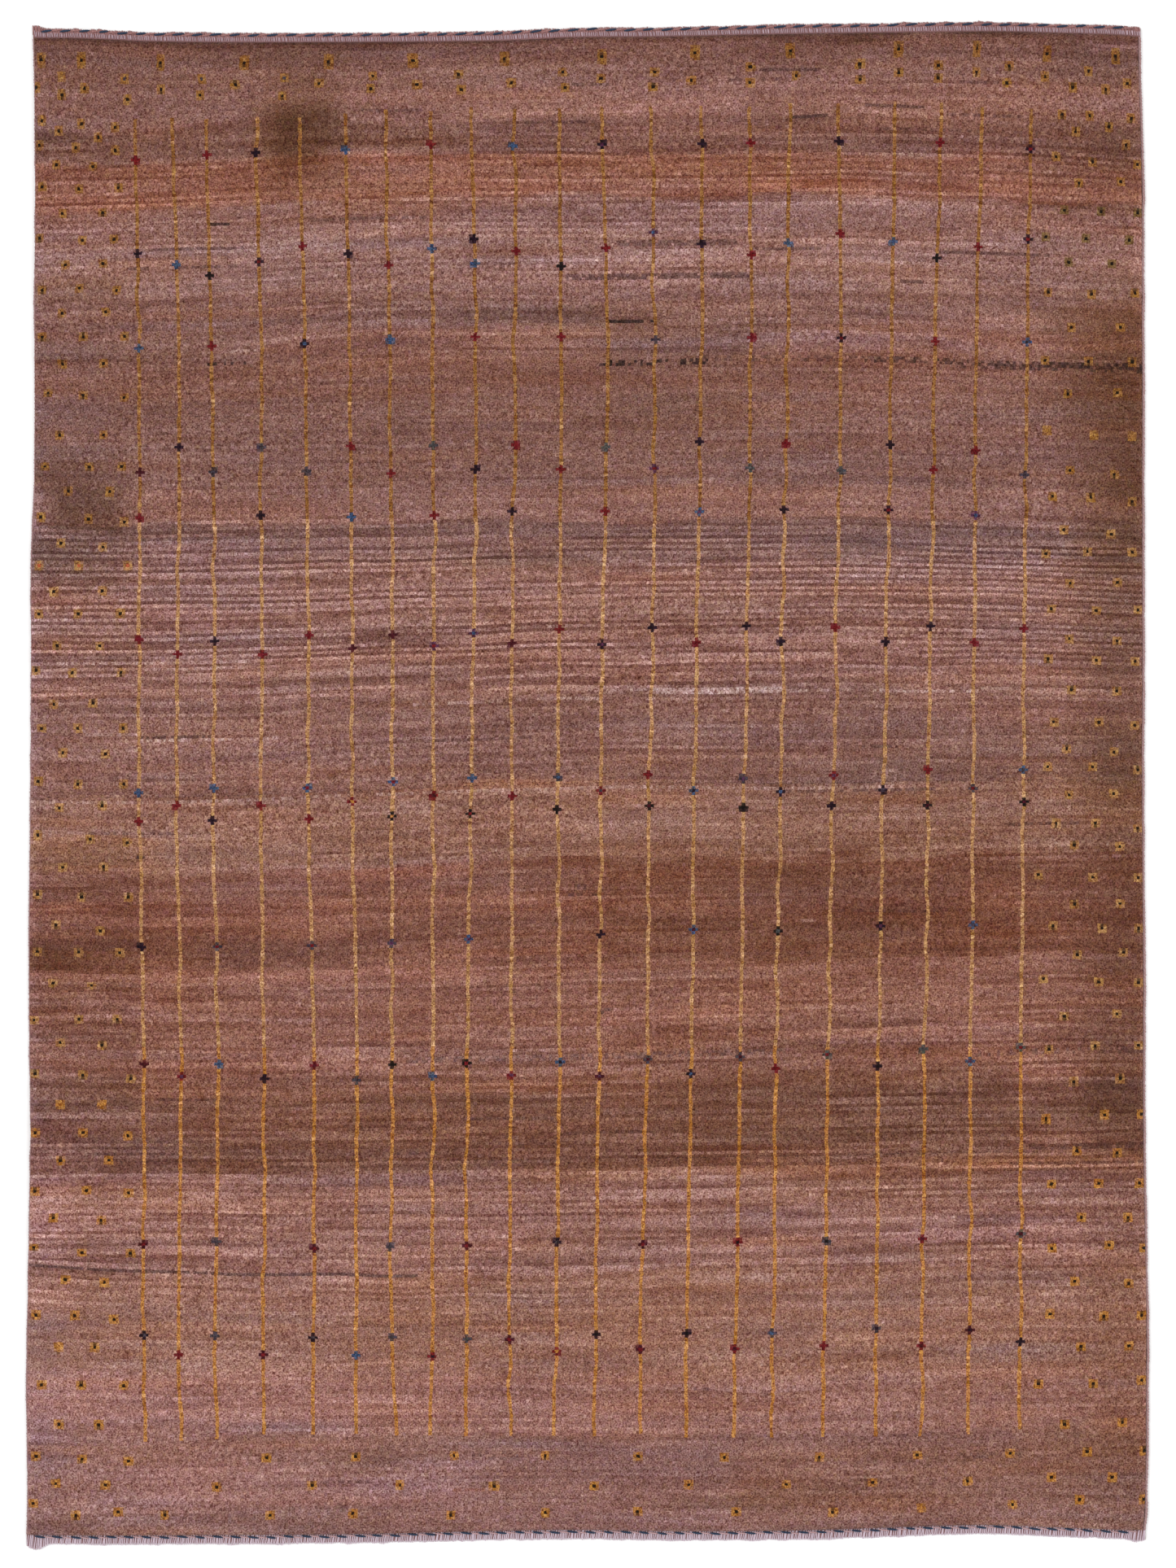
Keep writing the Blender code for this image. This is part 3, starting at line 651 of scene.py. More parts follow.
# Border dots: place across and place down of each
DOTS = (
    ((458, 94), (564, 91), (692, 91), (803, 88), (920, 84), (1057, 80))
    + ((1151, 79), (1239, 83), (1336, 90), (44, 108), (104, 109), (197, 110), (289, 106), (394, 104), (511, 103))
    + ((628, 102), (740, 98), (849, 98), (977, 92), (1104, 89), (1198, 91), (1285, 95), (77, 118), (156, 121))
    + ((245, 117), (347, 117), (455, 111), (567, 110), (693, 109), (803, 107), (923, 104), (1057, 100))
    + ((1151, 97), (1238, 103), (1317, 107), (1357, 110), (1385, 103))
)
LEFT_DOTS = (
    ((53, 150), (101, 154), (141, 155), (74, 163), (120, 168), (50, 180), (94, 182), (142, 185), (68, 204), (115, 204))
    + ((51, 231), (97, 231), (147, 231), (76, 262), (125, 262), (49, 295), (100, 295), (142, 295), (82, 325))
    + ((128, 325), (52, 356), (98, 356), (145, 356), (77, 384), (130, 384), (52, 414), (104, 414), (152, 414))
    + ((78, 447), (129, 447), (58, 484), (102, 487), (154, 489), (75, 535), (129, 535), (56, 574), (112, 574))
    + ((150, 574), (83, 605), (136, 605), (51, 637), (108, 638), (153, 640), (76, 667), (128, 672))
    + ((67, 728), (127, 728), (48, 755), (95, 755), (148, 755), (71, 795), (123, 794))
    + ((43, 824), (88, 827), (148, 828), (68, 864), (116, 863), (50, 894), (95, 896), (152, 897), (76, 925))
    + ((130, 927), (48, 962), (96, 962), (152, 962), (75, 991), (127, 992), (47, 1028), (110, 1032), (157, 1034))
    + ((78, 1065), (127, 1065), (48, 1099), (99, 1102), (157, 1103), (68, 1138), (124, 1143), (48, 1170))
    + ((95, 1171), (147, 1172), (66, 1209), (115, 1212), (44, 1255), (99, 1252), (145, 1252), (74, 1282))
    + ((127, 1284), (43, 1318), (103, 1322), (161, 1324), (43, 1390), (101, 1392), (159, 1394), (75, 1427))
    + ((134, 1426), (44, 1463), (106, 1463), (158, 1464), (67, 1498), (125, 1498), (43, 1534), (103, 1538))
    + ((159, 1540), (80, 1572), (128, 1575), (46, 1615), (92, 1617), (142, 1622), (118, 1657), (50, 1702))
    + ((102, 1703), (151, 1704), (71, 1748), (121, 1751), (43, 1791), (101, 1793), (158, 1795), (69, 1823))
    + ((129, 1824), (94, 1862), (145, 1859), (40, 1847))
)
RIGHT_DOTS = (
    ((1303, 141), (1338, 143), (1390, 148), (1320, 163), (1362, 156), (1296, 193), (1343, 198), (1382, 177))
    + ((1398, 202), (1325, 225), (1376, 225), (1306, 258), (1354, 260), (1398, 262), (1285, 290), (1333, 293))
    + ((1388, 296), (1311, 324), (1367, 324), (1289, 358), (1341, 360), (1395, 362), (1316, 402), (1375, 402))
    + ((1282, 443), (1338, 445), (1391, 447), (1313, 484), (1372, 484), (1313, 579), (1367, 583), (1292, 609))
    + ((1339, 612), (1389, 616), (1308, 652), (1364, 656), (1284, 680), (1336, 680), (1389, 680), (1314, 716))
    + ((1371, 716), (1290, 749), (1345, 749), (1397, 749), (1314, 787), (1374, 787), (1287, 809), (1345, 812))
    + ((1394, 813), (1317, 847), (1372, 851), (1294, 886), (1348, 887), (1393, 891), (1311, 922), (1367, 924))
    + ((1286, 944), (1342, 944), (1396, 947), (1313, 975), (1367, 974), (1297, 1012), (1346, 1013), (1397, 1017))
    + ((1319, 1039), (1375, 1041), (1277, 1076), (1341, 1077), (1399, 1077), (1320, 1112), (1374, 1110))
    + ((1294, 1139), (1352, 1139), (1399, 1140), (1323, 1174), (1380, 1170), (1281, 1203), (1349, 1206))
    + ((1400, 1206), (1309, 1247), (1372, 1246), (1287, 1289), (1347, 1286), (1398, 1283), (1320, 1328))
    + ((1377, 1325), (1285, 1373), (1355, 1371), (1403, 1370), (1322, 1414), (1374, 1415), (1293, 1454))
    + ((1348, 1454), (1401, 1454), (1327, 1494), (1386, 1495), (1293, 1532), (1362, 1531), (1404, 1532))
    + ((1321, 1576), (1386, 1576), (1289, 1616), (1355, 1616), (1404, 1616), (1327, 1656), (1386, 1653))
    + ((1276, 1701), (1341, 1698), (1404, 1696), (1307, 1748), (1379, 1747))
)
BOTTOM_DOTS = (
    ((327, 1790), (438, 1788), (558, 1788), (670, 1790), (783, 1789), (890, 1790), (1007, 1790), (1126, 1789))
    + ((1242, 1784), (1335, 1784), (1404, 1784), (267, 1825), (384, 1826), (491, 1824), (608, 1825), (728, 1826))
    + ((847, 1824), (967, 1823), (1073, 1823), (1189, 1820), (1292, 1813), (1368, 1814), (202, 1862), (331, 1860))
    + ((433, 1859), (553, 1861), (669, 1859), (783, 1857), (905, 1858), (1021, 1857), (1242, 1848), (1328, 1844))
    + ((1404, 1842),)
)
TALL_DOTS = (
    ((52, 75), (102, 74), (197, 76), (301, 77), (406, 76), (507, 75), (619, 72), (738, 69), (852, 67), (972, 64))
    + ((1103, 61), (1200, 62), (1286, 65), (1371, 69))
)
SLATE_HEARTED_DOTS = ((152, 98), (247, 98), (351, 98))
EMBER_HEARTED_DOTS = ((48, 696), (99, 696), (156, 696))
SOLID_DOTS = ((75, 95), (74, 1356), (124, 1357), (71, 1656), (1288, 531), (1343, 534), (1391, 537), (1131, 1851))


# ---------------------------------------------------------------- helpers
def smooth_curve(stations, values, places):
    """A smooth curve through values at the stations, read at an array of places."""
    at, height = np.asarray(stations, float), np.asarray(values, float)
    slope = np.empty_like(height)
    slope[1:-1] = (height[2:] - height[:-2]) / (at[2:] - at[:-2])
    slope[0] = (height[1] - height[0]) / (at[1] - at[0])
    slope[-1] = (height[-1] - height[-2]) / (at[-1] - at[-2])
    places = np.clip(places, at[0], at[-1])
    first = np.clip(np.searchsorted(at, places, side="right") - 1, 0, len(at) - 2)
    span = at[first + 1] - at[first]
    t = (places - at[first]) / span
    return (
        height[first] * (1 + 2 * t) * (1 - t) ** 2
        + slope[first] * span * t * (1 - t) ** 2
        + height[first + 1] * t * t * (3 - 2 * t)
        - slope[first + 1] * span * t * t * (1 - t)
    )


def side_edge(side, y):
    rows = np.array(SIDE_EDGES)
    return smooth_curve(rows[:, 0], rows[:, side], y)


def end_edge(end, x):
    rows = np.array(END_EDGES)
    return smooth_curve(rows[:, 0], rows[:, end], x)


def inwards(end):
    """+1 at the bottom end and -1 at the top end: the way from a binding into the rug."""
    return 1.0 if end == BOTTOM else -1.0


def ear_reach(end, x):
    """How far an ear pushes the binding's outer edge out at x."""
    reach = np.zeros(np.shape(x))
    for ear_end, centre, out, half_width in EARS:
        if ear_end == end:
            away = np.clip(np.abs(np.asarray(x) - centre) / half_width, 0, 1)
            reach = reach + out * (0.5 + 0.5 * np.cos(math.pi * away))
    return reach


def drifting(rng, rows, columns, row_step, column_step):
    """A field of soft random swells, about one in size, with the given lengths in knots."""
    coarse = rng.standard_normal((int(rows / row_step) + 3, int(columns / column_step) + 3))
    down, across = np.arange(rows) / row_step, np.arange(columns) / column_step
    r, c = down.astype(int), across.astype(int)
    u, v = (down - r)[:, None], (across - c)[None, :]
    u, v = u * u * (3 - 2 * u), v * v * (3 - 2 * v)
    low = coarse[r][:, c] * (1 - v) + coarse[r][:, c + 1] * v
    high = coarse[r + 1][:, c] * (1 - v) + coarse[r + 1][:, c + 1] * v
    return (low * (1 - u) + high * u) * 1.35


def to_linear(colour):
    """Linear light from the usual 0 to 255 values."""
    share = np.clip(np.asarray(colour, float) / 255.0, 0.0, 1.0)
    return np.where(share <= 0.04045, share / 12.92, ((share + 0.055) / 1.055) ** 2.4)


def shaded(colour, amount):
    """Lighter or darker by a share of the wool's own lightness, alike in every channel."""
    lightness = colour @ np.array((0.30, 0.59, 0.11))
    return colour + (amount * lightness)[..., None]


def ramp(values, low, high, soft):
    """One between low and high, falling to nought over a soft edge."""
    rise = np.clip((values - low) / soft + 0.5, 0, 1)
    fall = np.clip((high - values) / soft + 0.5, 0, 1)
    return rise * fall


# ---------------------------------------------------------------- the knots' places
def lay_out_knots():
    """Every knot corner's place: the rows dip as the wefts do, the columns follow the lines."""
    rng = np.random.default_rng(11)
    top_row = MIDDLE_UP - (end_edge(TOP, -0.13) - BINDING_WIDTH) / UNIT
    bottom_row = MIDDLE_UP - (end_edge(BOTTOM, -0.13) + BINDING_WIDTH) / UNIT
    rows, columns = KNOT_ROWS, KNOT_COLUMNS
    nominal = np.linspace(top_row, bottom_row, rows + 1)
    y_rough = (MIDDLE_UP - nominal) * UNIT
    left = MIDDLE_ACROSS + (side_edge(LEFT, y_rough) + LEFT_RIM) / UNIT
    right = MIDDLE_ACROSS + (side_edge(RIGHT, y_rough) - RIGHT_RIM) / UNIT
    stands = np.array([smooth_curve(LINE_STATIONS, line[:7], nominal) for line in LINES])
    stands += 0.8 * drifting(rng, len(LINES), rows + 1, 1.5, 9)
    middle = stands[:, rows // 2]
    line_columns, column = [], 0
    place = left[rows // 2]
    for stand in middle:
        column += max(1, int(round((stand - KNOT / 2 - place) / KNOT)))
        line_columns.append(column)
        column += 1
        place = stand + KNOT / 2
    anchors = [0] + [c + side for c in line_columns for side in (0, 1)] + [columns]
    across = np.empty((rows + 1, columns + 1))
    for row in range(rows + 1):
        stops = [left[row]]
        for stand in stands[:, row]:
            stops += [stand - KNOT * 0.57, stand + KNOT * 0.57]
        across[row] = np.interp(np.arange(columns + 1), anchors, [*stops, right[row]])
    mean_across = across.mean(axis=0)
    x_mean = (mean_across - MIDDLE_ACROSS) * UNIT
    guides = [MIDDLE_UP - (end_edge(TOP, x_mean) - BINDING_WIDTH - 0.0003) / UNIT]
    guide_rows = [nominal[0]]
    for place, drops in ROW_DRIFT:
        guides.append(place + smooth_curve(DRIFT_STATIONS, drops, mean_across))
        guide_rows.append(place)
    guides.append(MIDDLE_UP - (end_edge(BOTTOM, x_mean) + BINDING_WIDTH + 0.0003) / UNIT)
    guide_rows.append(nominal[-1])
    guides = np.array(guides)
    down = np.empty_like(across)
    for column in range(columns + 1):
        down[:, column] = np.interp(nominal, guide_rows, guides[:, column])
    inner = ramp(nominal, nominal[0] + 12, nominal[-1] - 12, 12)[:, None]
    down += 0.7 * inner * drifting(rng, rows + 1, columns + 1, 12, 24)
    return nominal, across, down, line_columns


# ---------------------------------------------------------------- the chart
def nearest_knot(x, y, across, down):
    """The row and column of the knot at a place of the drawing."""
    row = int(np.argmin(np.abs(down[:, down.shape[1] // 2] - y)))
    for _ in range(3):
        column = int(np.argmin(np.abs(across[row] - x)))
        row = int(np.argmin(np.abs(down[:, column] - y)))
    return row, column


def dye_ground(nominal, across, down):
    """The colour of every knot before any figure is knotted in, with the pile's rims painted lighter as painted light.
    """
    rng = np.random.default_rng(23)
    rows, columns = across.shape
    wander = nominal[:, None] + 3.0 * drifting(rng, rows, columns, 3, 22)
    colour = np.zeros((rows, columns, 3))
    for start, wool, tone, soft in BANDS:
        share = np.clip((wander - start) / soft + 0.5, 0, 1)[..., None]
        colour = colour * (1 - share) + np.array(WOOLS[wool]) * tone * share
    for low, high, left, right, soft_down, soft_across, tone, warmth in HANKS_STAINS_AND_RIM_LIGHT:
        share = (ramp(wander, low, high, soft_down) * ramp(across, left, right, soft_across))[..., None]
        colour *= (1 + (tone - 1) * share) * (1 + share * warmth * np.array((0.5, 0.0, -1.0)))
    streaky = np.interp(nominal, *zip(*STREAKY))[:, None]
    ribbed = np.interp(nominal, *zip(*RIBBED))[:, None]
    tone = streaky * 0.90 * drifting(rng, rows, columns, 1, 55)
    tone += streaky * 0.60 * drifting(rng, rows, columns, 1, 14)
    tone += 0.026 * drifting(rng, rows, columns, 5, 30)
    in_turn = np.where(np.arange(rows) % 2 == 0, 1.0, -1.0)[:, None]
    tone += ribbed * in_turn * (0.95 + 0.65 * np.abs(drifting(rng, rows, columns, 2, 80)))
    colour = shaded(colour, 0.32 * np.tanh(tone / 0.32))
    warmth = 0.018 * drifting(rng, rows, columns, 3, 40)
    colour *= 1 + warmth[..., None] * np.array((0.6, 0.0, -1.0))
    for y, left, right, high, wool, strength, share in ODD_ROWS:
        row, _ = nearest_knot((left + right) / 2, y, across, down)
        for step in range(high):
            r = min(max(row + step - high // 2, 0), rows - 1)
            ends = ramp(across[r], left, right, 10)
            shown = (rng.random(columns) < share * ends) * strength
            shown *= rng.uniform(0.75, 1.1, columns)
            shown = shown[:, None]
            colour[r] = colour[r] * (1 - shown) + np.array(WOOLS[wool]) * shown
    return colour


def knot_in(colour, row, column, wool, strength=1.0):
    """One knot of a figure."""
    if 0 <= row < colour.shape[0] and 0 <= column < colour.shape[1]:
        colour[row, column] += (np.array(WOOLS[wool], float) - colour[row, column]) * strength


def knot_lines(colour, down, line_columns):
    rng = np.random.default_rng(31)
    for line, column in zip(LINES, line_columns, strict=True):
        for row in range(colour.shape[0]):
            y = down[row, column]
            if not line[7] <= y <= line[8]:
                continue
            wool = "saffron_dull" if y < 640 else "saffron_pale" if y < 1286 else "saffron"
            knot_in(colour, row, column, wool, 0.96)
            uneven = 0.11 if y < 640 else 0.07
            uneven = (0.06 * (-1) ** row if y < 640 else 0.0) + rng.normal(0, uneven)
            colour[row, column] = shaded(colour[row, column], uneven)


def knot_crosses(colour, across, down, line_columns):
    rng = np.random.default_rng(37)
    for words, column in zip(CROSSES, line_columns, strict=True):
        for word in words.split():
            arms, heart = LETTER_WOOLS[word[0]], LETTER_WOOLS[word[0]]
            if not word[-1].isdigit():
                heart, word = LETTER_WOOLS[word[-1]], word[:-1]
            row = int(np.argmin(np.abs(down[:, column] - int(word[1:]))))
            for step_down, step_across in ((-1, 0), (1, 0), (0, -1), (0, 1)):
                strength = rng.uniform(0.78, 1.0)
                knot_in(colour, row + step_down, column + step_across, arms, strength)
            for step_down in (-1, 1):
                for step_across in (-1, 1):
                    if rng.random() < 0.10:
                        knot_in(colour, row + step_down, column + step_across, arms, 0.6)
            knot_in(colour, row, column, heart, 0.95)


def knot_dots(colour, across, down):
    rng = np.random.default_rng(41)
    plain = [(x, y, 1, "black") for x, y in DOTS + LEFT_DOTS + RIGHT_DOTS + BOTTOM_DOTS]
    slate = [(x, y, 1, "slate") for x, y in SLATE_HEARTED_DOTS]
    ember = [(x, y, 1, "ember") for x, y in EMBER_HEARTED_DOTS]
    tall = [(x, y, 2, "black") for x, y in TALL_DOTS]
    solid = [(x, y, 1, "") for x, y in SOLID_DOTS]
    for x, y, reach, heart in plain + slate + ember + tall + solid:
        row, column = nearest_knot(x, y, across, down)
        wool = "dot_dark" if y < 80 else "dot_dull" if y < 640 else "dot_bright" if y > 1330 else "dot"
        if x > 1270 and 240 < y < 340:
            wool = "moss"
        for step_down in range(-reach, reach + 1):
            for step_across in (-1, 0, 1):
                corner = abs(step_down) == reach and step_across != 0
                faded = rng.uniform(0.60, 1.0) if x > 1270 else rng.uniform(0.40, 0.90)
                strength = faded if corner else rng.uniform(0.88, 1.0)
                knot_in(colour, row + step_down, column + step_across, wool, strength)
        if heart:
            knot_in(colour, row, column, heart, 0.95)
            if heart == "black" and rng.random() < 0.4:
                knot_in(colour, row + rng.choice((-1, 1)), column, "black", 0.45)


def chart(nominal, across, down, line_columns):
    """Linear colour of each knot, uneven as hand-dyed wool is, and how far its rim mingles."""
    rng = np.random.default_rng(43)
    knot_across = (across[1:, 1:] + across[:-1, :-1]) / 2
    knot_down = (down[1:, 1:] + down[:-1, :-1]) / 2
    colour = dye_ground((nominal[1:] + nominal[:-1]) / 2, knot_across, knot_down)
    plain = colour.copy()
    knot_lines(colour, knot_down, line_columns)
    knot_crosses(colour, knot_across, knot_down, line_columns)
    knot_dots(colour, knot_across, knot_down)
    figured = np.pad(np.abs(colour - plain).max(axis=-1) > 14, 1)
    beside = figured[1:-1, 1:-1] | figured[2:, 1:-1] | figured[:-2, 1:-1] | figured[1:-1, 2:] | figured[1:-1, :-2]
    mingle = np.where(beside, FIGURE_MINGLE, MINGLE)
    colour = shaded(colour, 0.075 * rng.standard_normal(colour.shape[:2]))
    colour += rng.standard_normal(colour.shape) * np.array((1.5, 1.5, 3.0))
    return to_linear(np.clip(colour, 6, 245)) * np.array(DYE_DEPTH), mingle


# ---------------------------------------------------------------- pieces
def new_piece(name, bm, material):
    bmesh.ops.recalc_face_normals(bm, faces=bm.faces[:])
    mesh = bpy.data.meshes.new(name)
    bm.to_mesh(mesh)
    bm.free()
    piece = bpy.data.objects.new(name, mesh)
    bpy.context.scene.collection.objects.link(piece)
    mesh.materials.append(material)
    return piece


def read_points(mesh):
    points = np.empty(len(mesh.vertices) * 3)
    mesh.vertices.foreach_get("co", points)
    return points.reshape(-1, 3)


def face_middles(mesh):
    middles = np.empty(len(mesh.polygons) * 3)
    mesh.polygons.foreach_get("center", middles)
    return middles.reshape(-1, 3)


def dye_corners(mesh, own, shared, is_shared, mingle):
    """Colour each knot fully at its middle and mingle it with its neighbours at its rim."""
    totals = np.empty(len(mesh.polygons), int)
    mesh.polygons.foreach_get("loop_total", totals)
    vertex = np.empty(len(mesh.loops), int)
    mesh.loops.foreach_get("vertex_index", vertex)
    colours = np.repeat(own, totals, axis=0)
    rim = is_shared[vertex]
    colours[rim] += (shared[vertex[rim]] - colours[rim]) * np.repeat(mingle, totals)[rim, None]
    layer = mesh.attributes.new("wool", "FLOAT_VECTOR", "CORNER")
    layer.data.foreach_set("vector", colours.astype(np.float32).ravel())


def knotted_strip(name, first_row, last_row, knots, heights, domes, shift, dyes, mingle, material):
    """A strip of the pile: one low dome to a knot, closed by walls and a flat foot."""
    rows, columns = last_row - first_row, knots.shape[1] - 1
    bm = bmesh.new()
    bmesh.ops.create_grid(bm, x_segments=columns, y_segments=rows, size=1.0)
    bmesh.ops.poke(bm, faces=bm.faces[:])
    rim = [edge for edge in bm.edges if edge.is_boundary]
    walls = bmesh.ops.extrude_edge_only(bm, edges=rim)["geom"]
    foot = [part for part in walls if isinstance(part, bmesh.types.BMVert)]
    bmesh.ops.translate(bm, verts=foot, vec=(0, 0, -1))
    open_edges = [edge for edge in bm.edges if edge.is_boundary]
    bmesh.ops.holes_fill(bm, edges=open_edges, sides=0)
    piece = new_piece(name, bm, material)
    mesh = piece.data
    middles = face_middles(mesh)
    knot_column = np.clip(((middles[:, 0] + 1) / 2 * columns).astype(int), 0, columns - 1)
    knot_row = last_row - 1 - np.clip(((middles[:, 1] + 1) / 2 * rows).astype(int), 0, rows - 1)
    points = read_points(mesh)
    u, v = (points[:, 0] + 1) / 2 * columns, last_row - (points[:, 1] + 1) / 2 * rows
    is_corner = (np.abs(u - np.round(u)) < 0.1) & (np.abs(v - np.round(v)) < 0.1)
    i, j = np.round(u).astype(int), np.round(v).astype(int)
    edged = np.pad(dyes, ((1, 1), (1, 1), (0, 0)), mode="edge")
    around = (edged[1:, 1:] + edged[:-1, 1:] + edged[1:, :-1] + edged[:-1, :-1]) / 4
    own, own_mingle = dyes[knot_row, knot_column], mingle[knot_row, knot_column]
    dye_corners(mesh, own, around[j, i], is_corner, own_mingle)
    placed = np.empty_like(points)
    placed[is_corner, :2] = knots[j[is_corner], i[is_corner]]
    placed[is_corner, 2] = heights[j[is_corner], i[is_corner]]
    middle = ~is_corner
    i, j = u[middle].astype(int), v[middle].astype(int)
    around = knots[j, i] + knots[j + 1, i] + knots[j, i + 1] + knots[j + 1, i + 1]
    placed[middle, :2] = around / 4 + shift[j, i]
    placed[middle, 2] = domes[j, i]
    low = points[:, 2] < -0.5
    placed[low, 2] = PILE_FOOT
    placed[low & (u < 0.5), 0] += UNDERCUT
    placed[low & (u > columns - 0.5), 0] -= UNDERCUT
    mesh.vertices.foreach_set("co", placed.ravel())
    mesh.update()
    mesh.shade_smooth()
    mesh.set_sharp_from_angle(angle=math.radians(62))
    return piece


def lay_pile(across, down, dyes, mingle, material):
    """The whole pile, in strips across the rug."""
    rng = np.random.default_rng(47)
    knots = np.stack(((across - MIDDLE_ACROSS) * UNIT, (MIDDLE_UP - down) * UNIT), axis=-1)
    rows, columns = across.shape[0] - 1, across.shape[1] - 1
    inner = np.ones(across.shape)
    inner[:, :2] = inner[:, -2:] = 0.25
    inner[:2] = inner[-2:] = 0.25
    knots[..., 0] += KNOT_SHIFT * rng.standard_normal(across.shape) * inner
    knots[..., 1] += KNOT_SHIFT * 0.8 * rng.standard_normal(across.shape) * inner
    row_in = np.minimum(np.arange(rows + 1), rows - np.arange(rows + 1))[:, None]
    column_in = np.minimum(np.arange(columns + 1), columns - np.arange(columns + 1))[None, :]
    inset = np.minimum(row_in, column_in) * KNOT * UNIT
    level = np.interp(inset, *zip(*PILE_RIM))
    level += 0.0005 * drifting(rng, rows + 1, columns + 1, 40, 40)
    level += 0.0003 * drifting(rng, rows + 1, columns + 1, 2, 60)
    heights = level - KNOT_DOME * 0.6 + KNOT_UNEVEN * rng.standard_normal(level.shape)
    middle_level = (level[1:, 1:] + level[:-1, :-1]) / 2
    domes = middle_level + KNOT_DOME * 0.4
    domes += KNOT_UNEVEN * 1.2 * rng.standard_normal(middle_level.shape)
    shift = rng.normal(0, KNOT_SHIFT, (rows, columns, 2))
    shift[..., 1] -= PILE_LAY
    edges = np.linspace(0, rows, STRIPS + 1).astype(int)
    pieces = []
    for number, (first, last) in enumerate(zip(edges, edges[1:], strict=False), start=1):
        name = f"pile_strip_{number}"
        pieces.append(
            knotted_strip(name, first, last, knots, heights, domes, shift, dyes, mingle, material)
        )
    return pieces


def lay_ground(across, down, dyes, line_columns, material):
    """The woven ground under the pile, with a hem at each end. Its back shows the knots' colours."""
    rows, columns = across.shape[0] - 1, across.shape[1] - 1
    knots = np.stack(((across - MIDDLE_ACROSS) * UNIT, (MIDDLE_UP - down) * UNIT), axis=-1)
    marks = {0, columns}
    for column in line_columns:
        marks |= {column, column + 1}
    for step in (1, 2, 4, 6, 8, 10):
        marks |= {step, columns - step}
    marks = sorted(marks)
    stops = []
    for low, high in zip(marks, marks[1:], strict=False):
        parts = max(1, round((high - low) / 7))
        stops += [round(low + (high - low) * n / parts) for n in range(parts)]
    stops = np.array([*stops, columns])
    levels = np.unique(np.linspace(0, rows, rows // 3 + 1).astype(int))
    full = len(levels) - 1 + 4
    bm = bmesh.new()
    bmesh.ops.create_grid(bm, x_segments=len(stops) - 1, y_segments=full, size=1.0)
    raised = bmesh.ops.extrude_face_region(bm, geom=bm.faces[:], use_keep_orig=True)["geom"]
    tops = [part for part in raised if isinstance(part, bmesh.types.BMVert)]
    bmesh.ops.translate(bm, verts=tops, vec=(0, 0, 1))
    piece = new_piece("ground_cloth", bm, material)
    mesh = piece.data
    middles = face_middles(mesh)
    spot = np.clip(((middles[:, 0] + 1) / 2 * (len(stops) - 1)).astype(int), 0, len(stops) - 2)
    level = np.clip(full - 1 - ((middles[:, 1] + 1) / 2 * full).astype(int) - 2, 0, len(levels) - 2)
    points = read_points(mesh)
    u = np.round((points[:, 0] + 1) / 2 * (len(stops) - 1)).astype(int)
    v = full - np.round((points[:, 1] + 1) / 2 * full).astype(int)
    inside = np.clip(v - 2, 0, len(levels) - 1)
    blocks = np.add.reduceat(np.add.reduceat(dyes, levels[:-1], axis=0), stops[:-1], axis=1)
    blocks /= (np.diff(levels)[:, None] * np.diff(stops)[None, :])[..., None]
    lines = np.flatnonzero(np.isin(stops[:-1], line_columns))
    plain = blocks.copy()
    plain[:, lines] = (blocks[:, lines - 1] + blocks[:, lines + 1]) / 2
    edged = np.pad(plain, ((1, 1), (1, 1), (0, 0)), mode="edge")
    around = (edged[1:, 1:] + edged[:-1, 1:] + edged[1:, :-1] + edged[:-1, :-1]) / 4
    hem = np.abs(middles[:, 1]) > 1 - 4.2 / full
    own = blocks[level, spot]
    own[hem] = to_linear(HEM_WOOL) * np.array(DYE_DEPTH)
    figured = np.abs(blocks - plain).max(axis=-1) > 0.05
    softness = np.where(hem | figured[level, spot], 0.0, 1.0)
    dye_corners(mesh, own, around[inside, u], np.full(len(points), True), softness)
    placed = np.empty_like(points)
    placed[:, :2] = knots[levels[inside], stops[u]]
    top_edge, bottom_edge = end_edge(TOP, placed[:, 0]), end_edge(BOTTOM, placed[:, 0])
    top_ear, bottom_ear = ear_reach(TOP, placed[:, 0]), ear_reach(BOTTOM, placed[:, 0])
    for step, hem_place, share in ((0, HEM_INSET, 1.0), (1, BINDING_WIDTH + 0.0003, 0.0)):
        placed[v == step, 1] = (top_edge - hem_place + share * top_ear)[v == step]
        is_low = v == full - step
        placed[is_low, 1] = (bottom_edge + hem_place - share * bottom_ear)[is_low]
    placed[v == 2, 1] -= 0.0004
    placed[v == full - 2, 1] += 0.0004
    in_hem = (v < 2) | (v > full - 2)
    is_top = points[:, 2] > 0.5
    placed[:, 2] = np.where(
        is_top,
        np.where(in_hem, HEM_TOP, GROUND_TOP),
        np.where(in_hem, HEM_UNDERSIDE, 0.0),
    )
    side = np.where(u == 0, 1.0, np.where(u == len(stops) - 1, -1.0, 0.0))
    cord = np.where(side > 0, 2 * CORD_RADIUS["left"], 2 * CORD_RADIUS["right"])
    rim = np.where(side > 0, LEFT_RIM, RIGHT_RIM)
    placed[:, 0] += side * (np.where(in_hem, 0.0004, cord + 0.0003) - rim)
    mesh.vertices.foreach_set("co", placed.ravel())
    mesh.update()
    return piece


